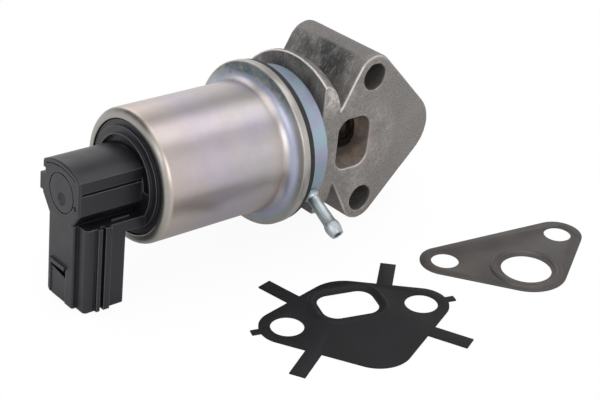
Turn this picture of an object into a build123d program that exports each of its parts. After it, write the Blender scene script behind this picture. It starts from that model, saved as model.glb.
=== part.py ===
"""Exhaust gas recirculation valve with its two loose flange gaskets, in millimetres.

X runs along the solenoid axis, from the plug towards the casting's nose. The front flange face is
the plane Y = 0 and looks along -Y. The two bolt holes stand one above the other along Z, and the
origin is midway between them on the front face.
"""
import os
from math import asin, atan2, cos, degrees, hypot, radians, sin

from build123d import *

os.makedirs("parts", exist_ok=True)

# Clearances
running_fit = 0.05
assembly_gap = 0.10
free_gap = 0.35
seat_gap = 0.02

# Casting
casting_depth = 33.0
axis_y = 15.5
bolt_pitch = 41.0
bolt_hole_d = 8.5
lobe_r = 7.1
nose_r = 11.5
nose_x = 14.7
shoulder_r = 11.4
shoulder_x = -6.4
edge_break = 0.5
collar_x = -19.8
collar_r = 26.0
collar_rim = 1.6
collar_depth = 7.0
collar_flat = 21.2
collar_root_r = 19.0
collar_bulge = 0.9
main_bore_r = 8.6
throat_r = 6.0
front_port_w = 12.8
front_port_h = 16.6
front_port_corner = 4.2
front_port_x = -6.0
rear_port_r = 7.6
rear_port_x = 13.3
rear_port_floor = 8.0

# Valve seat and pintle
seat_x = 1.4
seat_len = 3.2
seat_bore_r = 5.4
seat_cone_r = 6.6
stem_r = 2.5
head_r = 6.2
head_rim = 0.7
head_cone = 1.9
head_flare = 3.2
head_flare_rise = 0.3
head_flare_run = 0.6
lift = 4.5

# Stem guide and seal
bush_len = 6.6
bush_nose_r = 4.6
bush_nose_len = 2.2
seal_r = 5.2
seal_len = 2.6
deflector_r = 7.2
deflector_wall = 0.6
deflector_cup = 1.6

# Base ring
neck_len = 2.6
neck_r = 16.5
band_len = 6.0
band_step = 1.4
base_flange_t = 1.5
base_flange_inset = 1.7
spigot_len = 7.1
screw_count = 3
screw_circle_r = 12.6
screw_r = 2.0
screw_head_r = 3.6
screw_head_len = 2.4
screw_socket_af = 3.0
screw_socket_depth = 1.4
screw_cover = 1.6
screw_bite = 5.4
screw_start_angle = 30.0

# Vent nipple
nipple_angle = 61.0
nipple_tube_r = 1.85
nipple_bore_r = 1.2
nipple_reach = 15.5
nipple_root_r = 2.4
nipple_root_len = 0.8
nipple_root_blend = 1.2
nipple_bulb_r = 2.45
nipple_bulb_len = 4.6
nipple_bulb_rise = 0.9
nipple_tip_r = 1.65
nipple_socket = 4.0

# Can
rim_seal_t = 1.8
rim_seal_inset = 0.9
rim_t = 2.6
rim_out = 5.3
rim_edge = 0.5
can_r = 19.9
can_wall = 1.0
can_len = 44.8
can_flare = 4.0
can_shoulder = 2.2
can_lip = 3.0

# Solenoid
armature_r = 8.0
armature_len = 19.0
armature_x = -57.5
armature_bore_r = 2.0
sleeve_wall = 0.7
pocket_r = 5.2
armature_pocket = 6.0
pole_pocket = 5.0
stop_gap = 0.3
rod_r = 1.4
washer_t = 2.2
bobbin_wall = 1.4
bobbin_flange_t = 1.6
bobbin_flange_gap = 0.7
winding_inset = 1.6
spring_wire_r = 0.5
spring_coil_r = 3.9
spring_turns = 4.5

# Cap
cap_shoulder_len = 3.0
cap_disc_gap = 0.3
cap_recess = 0.5
cap_step = 0.8
cap_ring_w = 1.6
cap_crown_ring_w = 2.0
crescent_inset = 0.5
crescent_w = 2.6
crescent_depth = 1.7
crescent_sweep = 180.0
oring_r = 0.7
oring_groove_w = 1.8

# Sensor boss on the cap
boss_end_x = -100.7
boss_half = 9.1
boss_side_top = 7.2
boss_apex = 9.8
boss_side_low = -2.9
boss_chin_half = 5.4
boss_chin = -7.8
boss_edge = 0.5
boss_wall = 1.9
boss_groove_z = 3.5
boss_groove_h = 0.9
boss_groove_depth = 1.0
boss_groove_stop = 1.1
boss_notch_z = 4.2
boss_notch_h = 1.9
boss_notch_depth = 1.5
boss_lug_h = 5.0
boss_lug_z = 0.4
boss_lug_out = 1.0
boss_lug_len = 9.0
boss_mark_depth = 0.4
arch_line_inset = 1.1
arch_line_w = 0.4
arch_line_sweep = 54.0
boss_ring_place = (-0.5, 0.8)
boss_ring_r = 5.8
boss_ring_w = 0.5
boss_dimple_place = (-0.7, -1.0)
boss_dimple_r = 2.1
boss_dimple_depth = 0.9
boss_spot_place = (-7.2, -1.1)
boss_spot_r = 0.8

# Plug shroud under the boss
shroud_front_x = -98.9
shroud_depth = 13.5
shroud_low = -33.3
shroud_top = -7.2
shroud_near_y = 5.0
shroud_far_y = 21.7
shroud_wall = 1.8
shroud_corner = 1.1
shroud_toe_r = 2.5
column_w = 4.1
panel_out = 1.3
panel_corner = 0.5
socket_depth = 16.0
latch_near_y = 12.8
latch_far_y = 20.3
latch_high = -22.6
latch_low = -25.7
latch_ramp_low = -24.4
visor_h = 1.1
visor_out = 0.7
channel_depth = 0.3
key_ribs = ((-94.8, 1.2), (-92.0, 2.0))
key_rib_out = 0.9
key_groove_x = -93.6
key_groove_w = 1.2
key_groove_depth = 0.6
shelf_t = 3.3
pin_count = 5
pin_pitch = 2.3
pin_w = 1.2
pin_t = 0.6
pin_free = 7.0
pin_root = 5.0

# Position sensor
sensor_cavity_half = 6.6
sensor_cavity_low = -4.6
sensor_cavity_high = 6.2
track_w = 9.0
track_len = 15.0
track_t = 0.8
carriage_w = 6.4
carriage_len = 6.5
carriage_low = -2.8
carriage_plate_t = 1.6
carriage_nose_r = 1.9
carriage_nose_len = 1.0
carriage_pip_r = 1.5
carriage_pip_len = 1.5
wiper_w = 2.2
wiper_t = 0.25
wiper_len = 3.6
sensor_coil_r = 2.2
sensor_wire_r = 0.3
sensor_turns = 3.5
rod_standoff = 17.2

# Loose gaskets
gasket_t = 0.5
bead_h = 0.3
bead_edge = 0.2
coated_hole_r = 4.8
coated_lobe_r = 8.1
coated_top_r = 12.3
coated_top_y = 5.6
coated_chin_r = 10.4
coated_chin_y = -15.4
coated_port_w = 17.1
coated_port_h = 12.3
coated_port_corner = 4.2
coated_bead_gap = 0.9
coated_bead_w = 2.2
tab_w = 4.7
upper_tab_root = (14.0, 12.0)
upper_tab_end = (19.7, 22.4)
lower_tab_root = (17.0, -12.8)
lower_tab_end = (25.6, -22.1)
side_tab_w = 2.2
side_tab_reach = 31.1
coated_place = (-39.5, -40.2)
coated_turn = -20.5
steel_hole_r = 4.2
steel_lobe_r = 7.65
steel_nose_r = 12.2
steel_nose_y = -13.3
steel_port_r = 7.6
steel_bead_r = 9.9
steel_bead_w = 2.2
steel_place = (21.8, -40.1)
steel_turn = -14.3

# Stations along the solenoid axis, worked out from the sizes above
seat_end_x = seat_x + seat_len
bush_end_x = collar_x + bush_len
band_end_x = collar_x - neck_len
band_x = band_end_x - band_len
base_x = band_x - base_flange_t
rim_back_x = base_x - rim_seal_t
rim_x = rim_back_x - rim_t
can_x = rim_x - can_len
hub_x = base_x - spigot_len
cap_x = can_x + can_wall
washer_x = cap_x + cap_shoulder_len
bobbin_x = washer_x + washer_t + assembly_gap
bobbin_end_x = hub_x - assembly_gap
armature_end_x = armature_x + armature_len
pole_end_x = armature_x - lift - stop_gap
sleeve_in_r = armature_r + running_fit
sleeve_out_r = sleeve_in_r + sleeve_wall
bobbin_in_r = sleeve_out_r + assembly_gap
bobbin_out_r = bobbin_in_r + bobbin_wall
can_in_r = can_r - can_wall
can_lip_r = can_r - can_lip
rim_r = can_r + rim_out
rim_seal_r = rim_r - rim_seal_inset
base_flange_r = rim_r - base_flange_inset
band_r = base_flange_r - band_step
bobbin_flange_r = can_in_r - bobbin_flange_gap
winding_r = bobbin_flange_r - winding_inset
cap_disc_r = can_lip_r - cap_disc_gap
cap_step_r = cap_disc_r - cap_ring_w
cap_crown_r = cap_step_r - cap_crown_ring_w
cap_face_x = can_x + cap_recess
crown_x = cap_face_x - 2 * cap_step
arch_r = (boss_half ** 2 + (boss_apex - boss_side_top) ** 2) / 2 / (boss_apex - boss_side_top)
stem_hole_r = stem_r + running_fit
rod_hole_r = rod_r + free_gap
shroud_back_x = shroud_front_x + shroud_depth
shroud_mid_y = (shroud_near_y + shroud_far_y) / 2
shroud_w = shroud_far_y - shroud_near_y
socket_w = shroud_w - 2 * shroud_wall
socket_d = shroud_depth - 2 * shroud_wall
socket_mid_x = shroud_front_x + shroud_depth / 2
panel_x = shroud_front_x - panel_out
panel_near_y = shroud_near_y + column_w
latch_mid = (latch_near_y + latch_far_y) / 2
socket_roof = shroud_low + socket_depth
rod_end_x = boss_end_x + rod_standoff
carriage_x = rod_end_x - carriage_len
carriage_high = sensor_cavity_high - running_fit
oring_x = (cap_x + washer_x) / 2
oring_mid_r = can_in_r - oring_r - seat_gap
oring_floor_r = oring_mid_r - oring_r - seat_gap
cavity_end_x = boss_end_x + boss_wall

# Planes and axes
spin_axis = Axis((0, axis_y, 0), (1, 0, 0))
half_plane = Plane(origin=(0, axis_y, 0), x_dir=(1, 0, 0), z_dir=(0, -1, 0))
front_face = Plane(origin=(0, 0, 0), x_dir=(1, 0, 0), z_dir=(0, 1, 0))


def across(station):
    """Cross-section plane of the solenoid axis, with local x along +Y and local y along +Z."""
    return Plane(origin=(station, axis_y, 0), x_dir=(0, 1, 0), z_dir=(1, 0, 0))


def behind_face(depth):
    """Plane parallel to the front flange face, a depth behind it."""
    return front_face.offset(depth)


def arc_slot(centre, outer_r, inner_r, sweep):
    """Closed outline of a slot that follows an arc, the same to both sides of local +y."""
    outer = CenterArc(centre, outer_r, 90 - sweep / 2, sweep)
    inner = CenterArc(centre, inner_r, 90 - sweep / 2, sweep)
    Line(outer @ 0, inner @ 0)
    Line(outer @ 1, inner @ 1)


# The plane that the valve rests on touches the shroud's lower back edge and the casting's low lobe
rest_reach = hypot(shroud_back_x, shroud_low + bolt_pitch / 2)
rest_slope = atan2(-shroud_low - bolt_pitch / 2, -shroud_back_x) - asin(lobe_r / rest_reach)
rest_height = -bolt_pitch / 2 * cos(rest_slope) - lobe_r
rest_up = (-sin(rest_slope), 0, cos(rest_slope))
ground = Plane(
    origin=(rest_up[0] * rest_height, 0, rest_up[2] * rest_height),
    x_dir=(cos(rest_slope), 0, sin(rest_slope)),
    z_dir=rest_up,
)


# Cast valve body: flange prism, round collar, ports and bores
with BuildPart() as valve_body:
    with BuildSketch(front_face):
        with BuildLine():
            for side in (1, -1):
                CenterArc((0, side * bolt_pitch / 2), lobe_r, 0, 360)
            CenterArc((nose_x, 0), nose_r, 0, 360)
            CenterArc((shoulder_x, 0), shoulder_r, 0, 360)
        make_hull()
    extrude(amount=casting_depth)
    rims = valve_body.edges().filter_by_position(Axis.Y, 0, 0)
    rims += valve_body.edges().filter_by_position(Axis.Y, casting_depth, casting_depth)
    chamfer(rims, edge_break)
    with BuildSketch(half_plane):
        with BuildLine():
            rim_top = (collar_x + collar_rim, collar_r)
            root = (collar_x + collar_depth, collar_root_r)
            middle = (
                (rim_top[0] + root[0]) / 2 + collar_bulge,
                (rim_top[1] + root[1]) / 2 + collar_bulge,
            )
            Polyline((root[0], 0), (collar_x, 0), (collar_x, collar_r), rim_top)
            ThreePointArc(rim_top, middle, root)
            Line(root, (root[0], 0))
        make_face()
    revolve(axis=spin_axis)
    split(bisect_by=front_face, keep=Keep.TOP)
    with BuildSketch(across(collar_x)):
        with Locations((0, -collar_r)):
            Rectangle(2 * collar_r, 2 * (collar_r - collar_flat))
    extrude(amount=collar_depth, mode=Mode.SUBTRACT)
    with BuildSketch(across(collar_x)):
        Circle(main_bore_r)
    extrude(amount=seat_end_x - collar_x, mode=Mode.SUBTRACT)
    with BuildSketch(across(seat_end_x)):
        Circle(throat_r)
    extrude(amount=rear_port_x - seat_end_x, mode=Mode.SUBTRACT)
    with BuildSketch(front_face):
        with Locations((front_port_x, 0)):
            RectangleRounded(front_port_w, front_port_h, front_port_corner)
    extrude(amount=axis_y, mode=Mode.SUBTRACT)
    with BuildSketch(behind_face(rear_port_floor)):
        with Locations((rear_port_x, 0)):
            Circle(rear_port_r)
    extrude(amount=casting_depth - rear_port_floor, mode=Mode.SUBTRACT)
    with BuildSketch(front_face):
        with GridLocations(0, bolt_pitch, 1, 2):
            Circle(bolt_hole_d / 2)
    extrude(amount=casting_depth, mode=Mode.SUBTRACT)
    with BuildSketch(across(collar_x)):
        with PolarLocations(screw_circle_r, screw_count, screw_start_angle):
            Circle(screw_r + seat_gap)
    extrude(amount=screw_bite + assembly_gap, mode=Mode.SUBTRACT)
valve_body.part.label = "valve_body"
export_step(valve_body.part, "parts/valve_body.step")

# Hardened seat ring pressed against the shoulder of the main bore
with BuildPart() as valve_seat:
    with BuildSketch(half_plane):
        with BuildLine():
            cone_end_x = seat_x + seat_cone_r - seat_bore_r
            Polyline(
                (seat_x, seat_cone_r),
                (seat_x, main_bore_r - seat_gap),
                (seat_end_x, main_bore_r - seat_gap),
                (seat_end_x, seat_bore_r),
                (cone_end_x, seat_bore_r),
                close=True,
            )
        make_face()
    revolve(axis=spin_axis)
valve_seat.part.label = "valve_seat"
export_step(valve_seat.part, "parts/valve_seat.step")

# Pintle: cone head, stem, armature spigot and sensor rod, turned in one piece
with BuildPart() as pintle:
    with BuildSketch(half_plane):
        with BuildLine():
            cone_start_x = seat_x + seat_cone_r - seat_gap * 2 - head_r
            flare_x = cone_start_x - head_rim - head_flare
            spigot_end_x = armature_x + armature_pocket
            Polyline(
                (cone_start_x + head_cone, 0),
                (cone_start_x + head_cone, head_r - head_cone),
                (cone_start_x, head_r),
                (cone_start_x - head_rim, head_r),
            )
            ThreePointArc(
                (cone_start_x - head_rim, head_r),
                (flare_x + head_flare * head_flare_run, stem_r + (head_r - stem_r) * head_flare_rise),
                (flare_x, stem_r),
            )
            Polyline(
                (flare_x, stem_r),
                (armature_end_x, stem_r),
                (armature_end_x, armature_bore_r),
                (spigot_end_x, armature_bore_r),
                (spigot_end_x, rod_r),
                (rod_end_x, rod_r),
                (rod_end_x, 0),
                (cone_start_x + head_cone, 0),
            )
        make_face()
    revolve(axis=spin_axis)
pintle.part.label = "pintle"
export_step(pintle.part, "parts/pintle.step")

# Guide bush with a nose that carries the deflector, and a pocket for the stem seal
with BuildPart() as guide_bush:
    with BuildSketch(half_plane):
        with BuildLine():
            Polyline(
                (collar_x, seal_r),
                (collar_x, main_bore_r - seat_gap),
                (bush_end_x, main_bore_r - seat_gap),
                (bush_end_x, bush_nose_r),
                (bush_end_x + bush_nose_len, bush_nose_r),
                (bush_end_x + bush_nose_len, stem_hole_r),
                (collar_x + seal_len, stem_hole_r),
                (collar_x + seal_len, seal_r),
                close=True,
            )
        make_face()
    revolve(axis=spin_axis)
guide_bush.part.label = "guide_bush"
export_step(guide_bush.part, "parts/guide_bush.step")

# Stem seal ring in the bush
with BuildPart() as stem_seal:
    with BuildSketch(across(collar_x)):
        Circle(seal_r)
        Circle(stem_hole_r, mode=Mode.SUBTRACT)
    extrude(amount=seal_len)
stem_seal.part.label = "stem_seal"
export_step(stem_seal.part, "parts/stem_seal.step")

# Pressed steel deflector cup that keeps soot off the stem
with BuildPart() as deflector:
    with BuildSketch(half_plane):
        with BuildLine():
            cup_x = bush_end_x + assembly_gap
            Polyline(
                (cup_x, bush_nose_r),
                (cup_x, deflector_r - deflector_wall),
                (cup_x + deflector_cup, deflector_r),
                (cup_x + deflector_cup, deflector_r - deflector_wall),
                (cup_x + deflector_wall, deflector_r - 2 * deflector_wall),
                (cup_x + deflector_wall, bush_nose_r),
                close=True,
            )
        make_face()
    revolve(axis=spin_axis)
deflector.part.label = "deflector"
export_step(deflector.part, "parts/deflector.step")

# Zinc-plated base ring: spigot for the can, flange, band and neck, with a drilled vent passage
nipple_x = (band_x + band_end_x) / 2
nipple_out = (0, -sin(radians(nipple_angle)), -cos(radians(nipple_angle)))
nipple_root = Plane(origin=(nipple_x, axis_y, 0), z_dir=nipple_out)
nipple_half = Plane(origin=(nipple_x, axis_y, 0), x_dir=nipple_out, z_dir=(1, 0, 0))
nipple_axis = Axis((nipple_x, axis_y, 0), nipple_out)
screw_seat_x = hub_x + screw_cover + screw_head_len
with BuildPart() as base_ring:
    with BuildSketch(half_plane):
        with BuildLine():
            Polyline(
                (hub_x, stem_r + free_gap),
                (hub_x, can_in_r - seat_gap),
                (base_x, can_in_r - seat_gap),
                (base_x, base_flange_r),
                (band_x, base_flange_r),
                (band_x, band_r),
                (band_end_x, band_r),
                (band_end_x, neck_r),
                (collar_x, neck_r),
                (collar_x, stem_r + free_gap),
                close=True,
            )
        make_face()
    revolve(axis=spin_axis)
    chamfer(base_ring.edges().filter_by(GeomType.CIRCLE).group_by(SortBy.RADIUS)[-1], edge_break)
    with BuildSketch(across(hub_x)):
        with PolarLocations(screw_circle_r, screw_count, screw_start_angle):
            Circle(screw_head_r + assembly_gap)
    extrude(amount=screw_seat_x - hub_x, mode=Mode.SUBTRACT)
    with BuildSketch(across(hub_x)):
        with PolarLocations(screw_circle_r, screw_count, screw_start_angle):
            Circle(screw_r + assembly_gap)
    extrude(amount=collar_x - hub_x, mode=Mode.SUBTRACT)
    with BuildSketch(nipple_root):
        Circle(nipple_bore_r)
    extrude(amount=band_r, mode=Mode.SUBTRACT)
    with BuildSketch(nipple_root.offset(band_r - nipple_socket)):
        Circle(nipple_tube_r)
    extrude(amount=2 * nipple_socket, mode=Mode.SUBTRACT)
base_ring.part.label = "base_ring"
export_step(base_ring.part, "parts/base_ring.step")

# Cap screws that hold the base ring to the casting, hidden under the coil
with BuildPart() as base_screws:
    with BuildSketch(across(screw_seat_x - screw_head_len)):
        with PolarLocations(screw_circle_r, screw_count, screw_start_angle):
            Circle(screw_head_r)
    extrude(amount=screw_head_len)
    with BuildSketch(across(screw_seat_x)):
        with PolarLocations(screw_circle_r, screw_count, screw_start_angle):
            Circle(screw_r)
    extrude(amount=collar_x + screw_bite - screw_seat_x)
    with BuildSketch(across(screw_seat_x - screw_head_len)):
        with PolarLocations(screw_circle_r, screw_count, screw_start_angle):
            RegularPolygon(screw_socket_af / 2, 6, major_radius=False)
    extrude(amount=screw_socket_depth, mode=Mode.SUBTRACT)
base_screws.part.label = "base_screws"
export_step(base_screws.part, "parts/base_screws.step")

# Vent nipple: drilled tube with a root collar and a hose bulb
with BuildPart() as vent_nipple:
    nipple_end = band_r + nipple_reach
    bulb_start = nipple_end - nipple_bulb_len
    bulb_top = (bulb_start + nipple_bulb_rise, nipple_bulb_r)
    root_end = band_r + nipple_root_len
    with BuildSketch(nipple_half):
        with BuildLine():
            Polyline(
                (nipple_end, nipple_tip_r),
                (nipple_end, nipple_bore_r),
                (band_r - nipple_socket, nipple_bore_r),
                (band_r - nipple_socket, nipple_tube_r),
                (band_r, nipple_tube_r),
                (band_r, nipple_root_r),
                (root_end, nipple_root_r),
                (root_end + nipple_root_blend, nipple_tube_r),
                (bulb_start, nipple_tube_r),
            )
            TangentArc(bulb_top, (bulb_start, nipple_tube_r), tangent=(-1, 0))
            TangentArc(bulb_top, (nipple_end, nipple_tip_r), tangent=(1, 0))
        make_face()
    revolve(axis=nipple_axis)
vent_nipple.part.label = "vent_nipple"
export_step(vent_nipple.part, "parts/vent_nipple.step")

# Black rubber seal between the base ring and the can's rim
with BuildPart() as rim_seal:
    with BuildSketch(across(base_x - rim_seal_t)):
        Circle(rim_seal_r)
        Circle(can_in_r + assembly_gap, mode=Mode.SUBTRACT)
    extrude(amount=rim_seal_t)
rim_seal.part.label = "rim_seal"
export_step(rim_seal.part, "parts/rim_seal.step")

# Deep-drawn steel can with a rolled rim and a turned-in lip
with BuildPart() as solenoid_can:
    with BuildSketch(half_plane):
        with BuildLine():
            flare_start = (rim_x - can_flare, can_r)
            flare_end = (rim_x, can_r + can_flare)
            arc_inset = 1 - sin(radians(45))
            Polyline((can_x + can_shoulder, can_r), flare_start)
            flare_inset = can_flare * arc_inset
            ThreePointArc(flare_start, (rim_x - flare_inset, can_r + flare_inset), flare_end)
            Polyline(
                flare_end,
                (rim_x, rim_r - rim_edge),
                (rim_x + rim_edge, rim_r),
                (rim_back_x, rim_r),
                (rim_back_x, can_in_r),
                (cap_x, can_in_r),
                (cap_x, can_lip_r),
                (can_x, can_lip_r),
                (can_x, can_r - can_shoulder),
            )
            shoulder_inset = can_shoulder * arc_inset
            ThreePointArc(
                (can_x, can_r - can_shoulder),
                (can_x + shoulder_inset, can_r - shoulder_inset),
                (can_x + can_shoulder, can_r),
            )
        make_face()
    revolve(axis=spin_axis)
solenoid_can.part.label = "solenoid_can"
export_step(solenoid_can.part, "parts/solenoid_can.step")

# Soft iron armature, bored for the pintle and pocketed for the return spring
with BuildPart() as armature:
    with BuildSketch(across(armature_x)):
        Circle(armature_r)
        Circle(armature_bore_r, mode=Mode.SUBTRACT)
    extrude(amount=armature_len)
    with BuildSketch(across(armature_x)):
        Circle(pocket_r)
    extrude(amount=armature_pocket, mode=Mode.SUBTRACT)
armature.part.label = "armature"
export_step(armature.part, "parts/armature.step")

# Non-magnetic sleeve that the armature runs in
with BuildPart() as armature_sleeve:
    with BuildSketch(across(pole_end_x)):
        Circle(sleeve_out_r)
        Circle(sleeve_in_r, mode=Mode.SUBTRACT)
    extrude(amount=hub_x - pole_end_x)
armature_sleeve.part.label = "armature_sleeve"
export_step(armature_sleeve.part, "parts/armature_sleeve.step")

# Fixed pole piece with the spring pocket and the rod hole
with BuildPart() as pole_piece:
    with BuildSketch(across(washer_x)):
        Circle(sleeve_out_r)
        Circle(rod_hole_r, mode=Mode.SUBTRACT)
    extrude(amount=pole_end_x - washer_x)
    with BuildSketch(across(pole_end_x - pole_pocket)):
        Circle(pocket_r)
    extrude(amount=pole_pocket, mode=Mode.SUBTRACT)
pole_piece.part.label = "pole_piece"
export_step(pole_piece.part, "parts/pole_piece.step")

# Flux washer that joins the pole piece to the can
with BuildPart() as flux_washer:
    with BuildSketch(across(washer_x)):
        Circle(can_in_r - assembly_gap)
        Circle(sleeve_out_r + assembly_gap, mode=Mode.SUBTRACT)
    extrude(amount=washer_t)
flux_washer.part.label = "flux_washer"
export_step(flux_washer.part, "parts/flux_washer.step")

# Coil former and winding
with BuildPart() as coil_bobbin:
    with BuildSketch(half_plane):
        with BuildLine():
            Polyline(
                (bobbin_x, bobbin_in_r),
                (bobbin_x, bobbin_flange_r),
                (bobbin_x + bobbin_flange_t, bobbin_flange_r),
                (bobbin_x + bobbin_flange_t, bobbin_out_r),
                (bobbin_end_x - bobbin_flange_t, bobbin_out_r),
                (bobbin_end_x - bobbin_flange_t, bobbin_flange_r),
                (bobbin_end_x, bobbin_flange_r),
                (bobbin_end_x, bobbin_in_r),
                close=True,
            )
        make_face()
    revolve(axis=spin_axis)
coil_bobbin.part.label = "coil_bobbin"
export_step(coil_bobbin.part, "parts/coil_bobbin.step")

with BuildPart() as coil_winding:
    with BuildSketch(across(bobbin_x + bobbin_flange_t)):
        Circle(winding_r)
        Circle(bobbin_out_r, mode=Mode.SUBTRACT)
    extrude(amount=bobbin_end_x - bobbin_x - 2 * bobbin_flange_t)
coil_winding.part.label = "coil_winding"
export_step(coil_winding.part, "parts/coil_winding.step")

# Return spring between the pole piece and the armature
with BuildPart() as return_spring:
    spring_start_x = pole_end_x - pole_pocket + spring_wire_r + assembly_gap
    spring_height = armature_x + armature_pocket - spring_wire_r - assembly_gap - spring_start_x
    with BuildLine() as spring_line:
        Helix(
            pitch=spring_height / spring_turns,
            height=spring_height,
            radius=spring_coil_r,
            center=(spring_start_x, axis_y, 0),
            direction=(1, 0, 0),
        )
    with BuildSketch(Plane(origin=spring_line.line @ 0, z_dir=spring_line.line % 0)):
        Circle(spring_wire_r)
    sweep(path=spring_line.line, is_frenet=True)
return_spring.part.label = "return_spring"
export_step(return_spring.part, "parts/return_spring.step")

# Moulded cap: stepped disc, sensor boss and plug shroud
with BuildPart() as connector_cap:
    with BuildSketch(half_plane):
        with BuildLine():
            Polyline(
                (washer_x, 0),
                (washer_x, can_in_r - assembly_gap),
                (cap_x, can_in_r - assembly_gap),
                (cap_x, cap_disc_r),
                (cap_face_x, cap_disc_r),
                (cap_face_x, cap_step_r),
                (cap_face_x - cap_step, cap_step_r),
                (cap_face_x - cap_step, cap_crown_r),
                (crown_x, cap_crown_r),
                (crown_x, 0),
                close=True,
            )
        make_face()
    revolve(axis=spin_axis)
    with BuildSketch(across(crown_x)):
        with BuildLine():
            crescent_out_r = cap_crown_r - crescent_inset
            arc_slot((0, 0), crescent_out_r, crescent_out_r - crescent_w, crescent_sweep)
        make_face()
    extrude(amount=crescent_depth, mode=Mode.SUBTRACT)
    with BuildSketch(across(boss_end_x)):
        with BuildLine():
            Polyline(
                (-boss_half, boss_side_top),
                (-boss_half, boss_side_low),
                (-boss_chin_half, boss_chin),
                (boss_chin_half, boss_chin),
                (boss_half, boss_side_low),
                (boss_half, boss_side_top),
            )
            ThreePointArc((boss_half, boss_side_top), (0, boss_apex), (-boss_half, boss_side_top))
        make_face()
    extrude(amount=cap_face_x - boss_end_x)
    chamfer(connector_cap.edges().filter_by_position(Axis.X, boss_end_x, boss_end_x), boss_edge)
    with BuildSketch(across(boss_end_x)):
        with Locations((boss_half, boss_lug_z)):
            Rectangle(2 * boss_lug_out, boss_lug_h)
    extrude(amount=boss_lug_len)
    with BuildSketch(across(boss_end_x + boss_groove_stop)):
        with Locations((-boss_half, boss_groove_z)):
            Rectangle(2 * boss_groove_depth, boss_groove_h)
    extrude(amount=crown_x - boss_end_x - boss_groove_stop, mode=Mode.SUBTRACT)
    with BuildSketch(across(boss_end_x)):
        with Locations((boss_half, boss_notch_z)):
            Rectangle(2 * boss_notch_depth, boss_notch_h)
    extrude(amount=crown_x - boss_end_x, mode=Mode.SUBTRACT)
    with BuildSketch(across(boss_end_x)):
        with BuildLine():
            line_r = arch_r - arch_line_inset
            arc_slot((0, boss_apex - arch_r), line_r, line_r - arch_line_w, arch_line_sweep)
        make_face()
        with Locations(boss_ring_place):
            Circle(boss_ring_r + boss_ring_w / 2)
            Circle(boss_ring_r - boss_ring_w / 2, mode=Mode.SUBTRACT)
        with Locations(boss_spot_place):
            Circle(boss_spot_r)
    extrude(amount=boss_mark_depth, mode=Mode.SUBTRACT)
    with Locations(across(boss_end_x) * Location((*boss_dimple_place, 0))):
        dish_r = (boss_dimple_r ** 2 + boss_dimple_depth ** 2) / 2 / boss_dimple_depth
        with Locations((0, 0, boss_dimple_depth - dish_r)):
            Sphere(dish_r, mode=Mode.SUBTRACT)
    with BuildSketch(Plane.XY.offset(shroud_low)):
        with Locations((socket_mid_x, shroud_mid_y)):
            RectangleRounded(shroud_depth, shroud_w, shroud_corner)
        with Locations(((panel_x + socket_mid_x) / 2, (panel_near_y + shroud_far_y) / 2)):
            RectangleRounded(socket_mid_x - panel_x, shroud_far_y - panel_near_y, panel_corner)
        for rib_x, rib_w in key_ribs:
            with Locations((rib_x, shroud_near_y)):
                Rectangle(rib_w, 2 * key_rib_out)
    extrude(amount=shroud_top - shroud_low)
    with BuildSketch(Plane.XY.offset(shroud_top - shelf_t)):
        with Locations(((socket_mid_x + cap_face_x) / 2, shroud_mid_y)):
            Rectangle(cap_face_x - socket_mid_x, shroud_w)
    extrude(amount=shelf_t)
    with BuildSketch(Plane.XY.offset(shroud_low)):
        with Locations((key_groove_x, shroud_near_y)):
            Rectangle(key_groove_w, 2 * key_groove_depth)
    extrude(amount=shroud_top - shroud_low, mode=Mode.SUBTRACT)
    with BuildSketch(across(panel_x)):
        with Locations((shroud_far_y - axis_y, shroud_low)):
            Rectangle(2 * shroud_toe_r, 2 * shroud_toe_r)
        with Locations((shroud_far_y - axis_y - shroud_toe_r, shroud_low + shroud_toe_r)):
            Circle(shroud_toe_r, mode=Mode.SUBTRACT)
    extrude(amount=panel_out + shroud_depth, mode=Mode.SUBTRACT)
    with BuildSketch(Plane.XY.offset(shroud_low)):
        with Locations((socket_mid_x, shroud_mid_y)):
            RectangleRounded(socket_d, socket_w, shroud_corner / 2)
    extrude(amount=socket_depth, mode=Mode.SUBTRACT)
    with BuildSketch(across(panel_x)):
        with Locations((latch_mid - axis_y, (shroud_low + latch_high) / 2)):
            Rectangle(latch_far_y - latch_near_y, latch_high - shroud_low)
    extrude(amount=channel_depth, mode=Mode.SUBTRACT)
    with BuildSketch(across(panel_x)):
        with BuildLine():
            Polyline(
                (latch_near_y - axis_y, latch_high),
                (latch_near_y - axis_y, latch_low),
                (latch_far_y - axis_y, latch_ramp_low),
                (latch_far_y - axis_y, latch_high),
                close=True,
            )
        make_face()
    extrude(amount=socket_mid_x - panel_x, mode=Mode.SUBTRACT)
    with BuildSketch(across(panel_x - visor_out)):
        with Locations((latch_mid - axis_y, latch_high + visor_h / 2)):
            Rectangle(latch_far_y - latch_near_y, visor_h)
    extrude(amount=2 * visor_out)
    with BuildSketch(across(cavity_end_x)):
        with Locations((0, (sensor_cavity_high + sensor_cavity_low) / 2)):
            Rectangle(2 * sensor_cavity_half, sensor_cavity_high - sensor_cavity_low)
    extrude(amount=washer_x - cavity_end_x, mode=Mode.SUBTRACT)
    with BuildSketch(Plane.XY.offset(socket_roof)):
        with Locations((socket_mid_x, shroud_mid_y)):
            with GridLocations(0, pin_pitch, 1, pin_count):
                Rectangle(pin_t, pin_w)
    extrude(amount=pin_root, mode=Mode.SUBTRACT)
    with BuildSketch(half_plane):
        with Locations((oring_x, can_in_r)):
            Rectangle(oring_groove_w, 2 * (can_in_r - oring_floor_r))
    revolve(axis=spin_axis, mode=Mode.SUBTRACT)
connector_cap.part.label = "connector_cap"
export_step(connector_cap.part, "parts/connector_cap.step")

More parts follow.
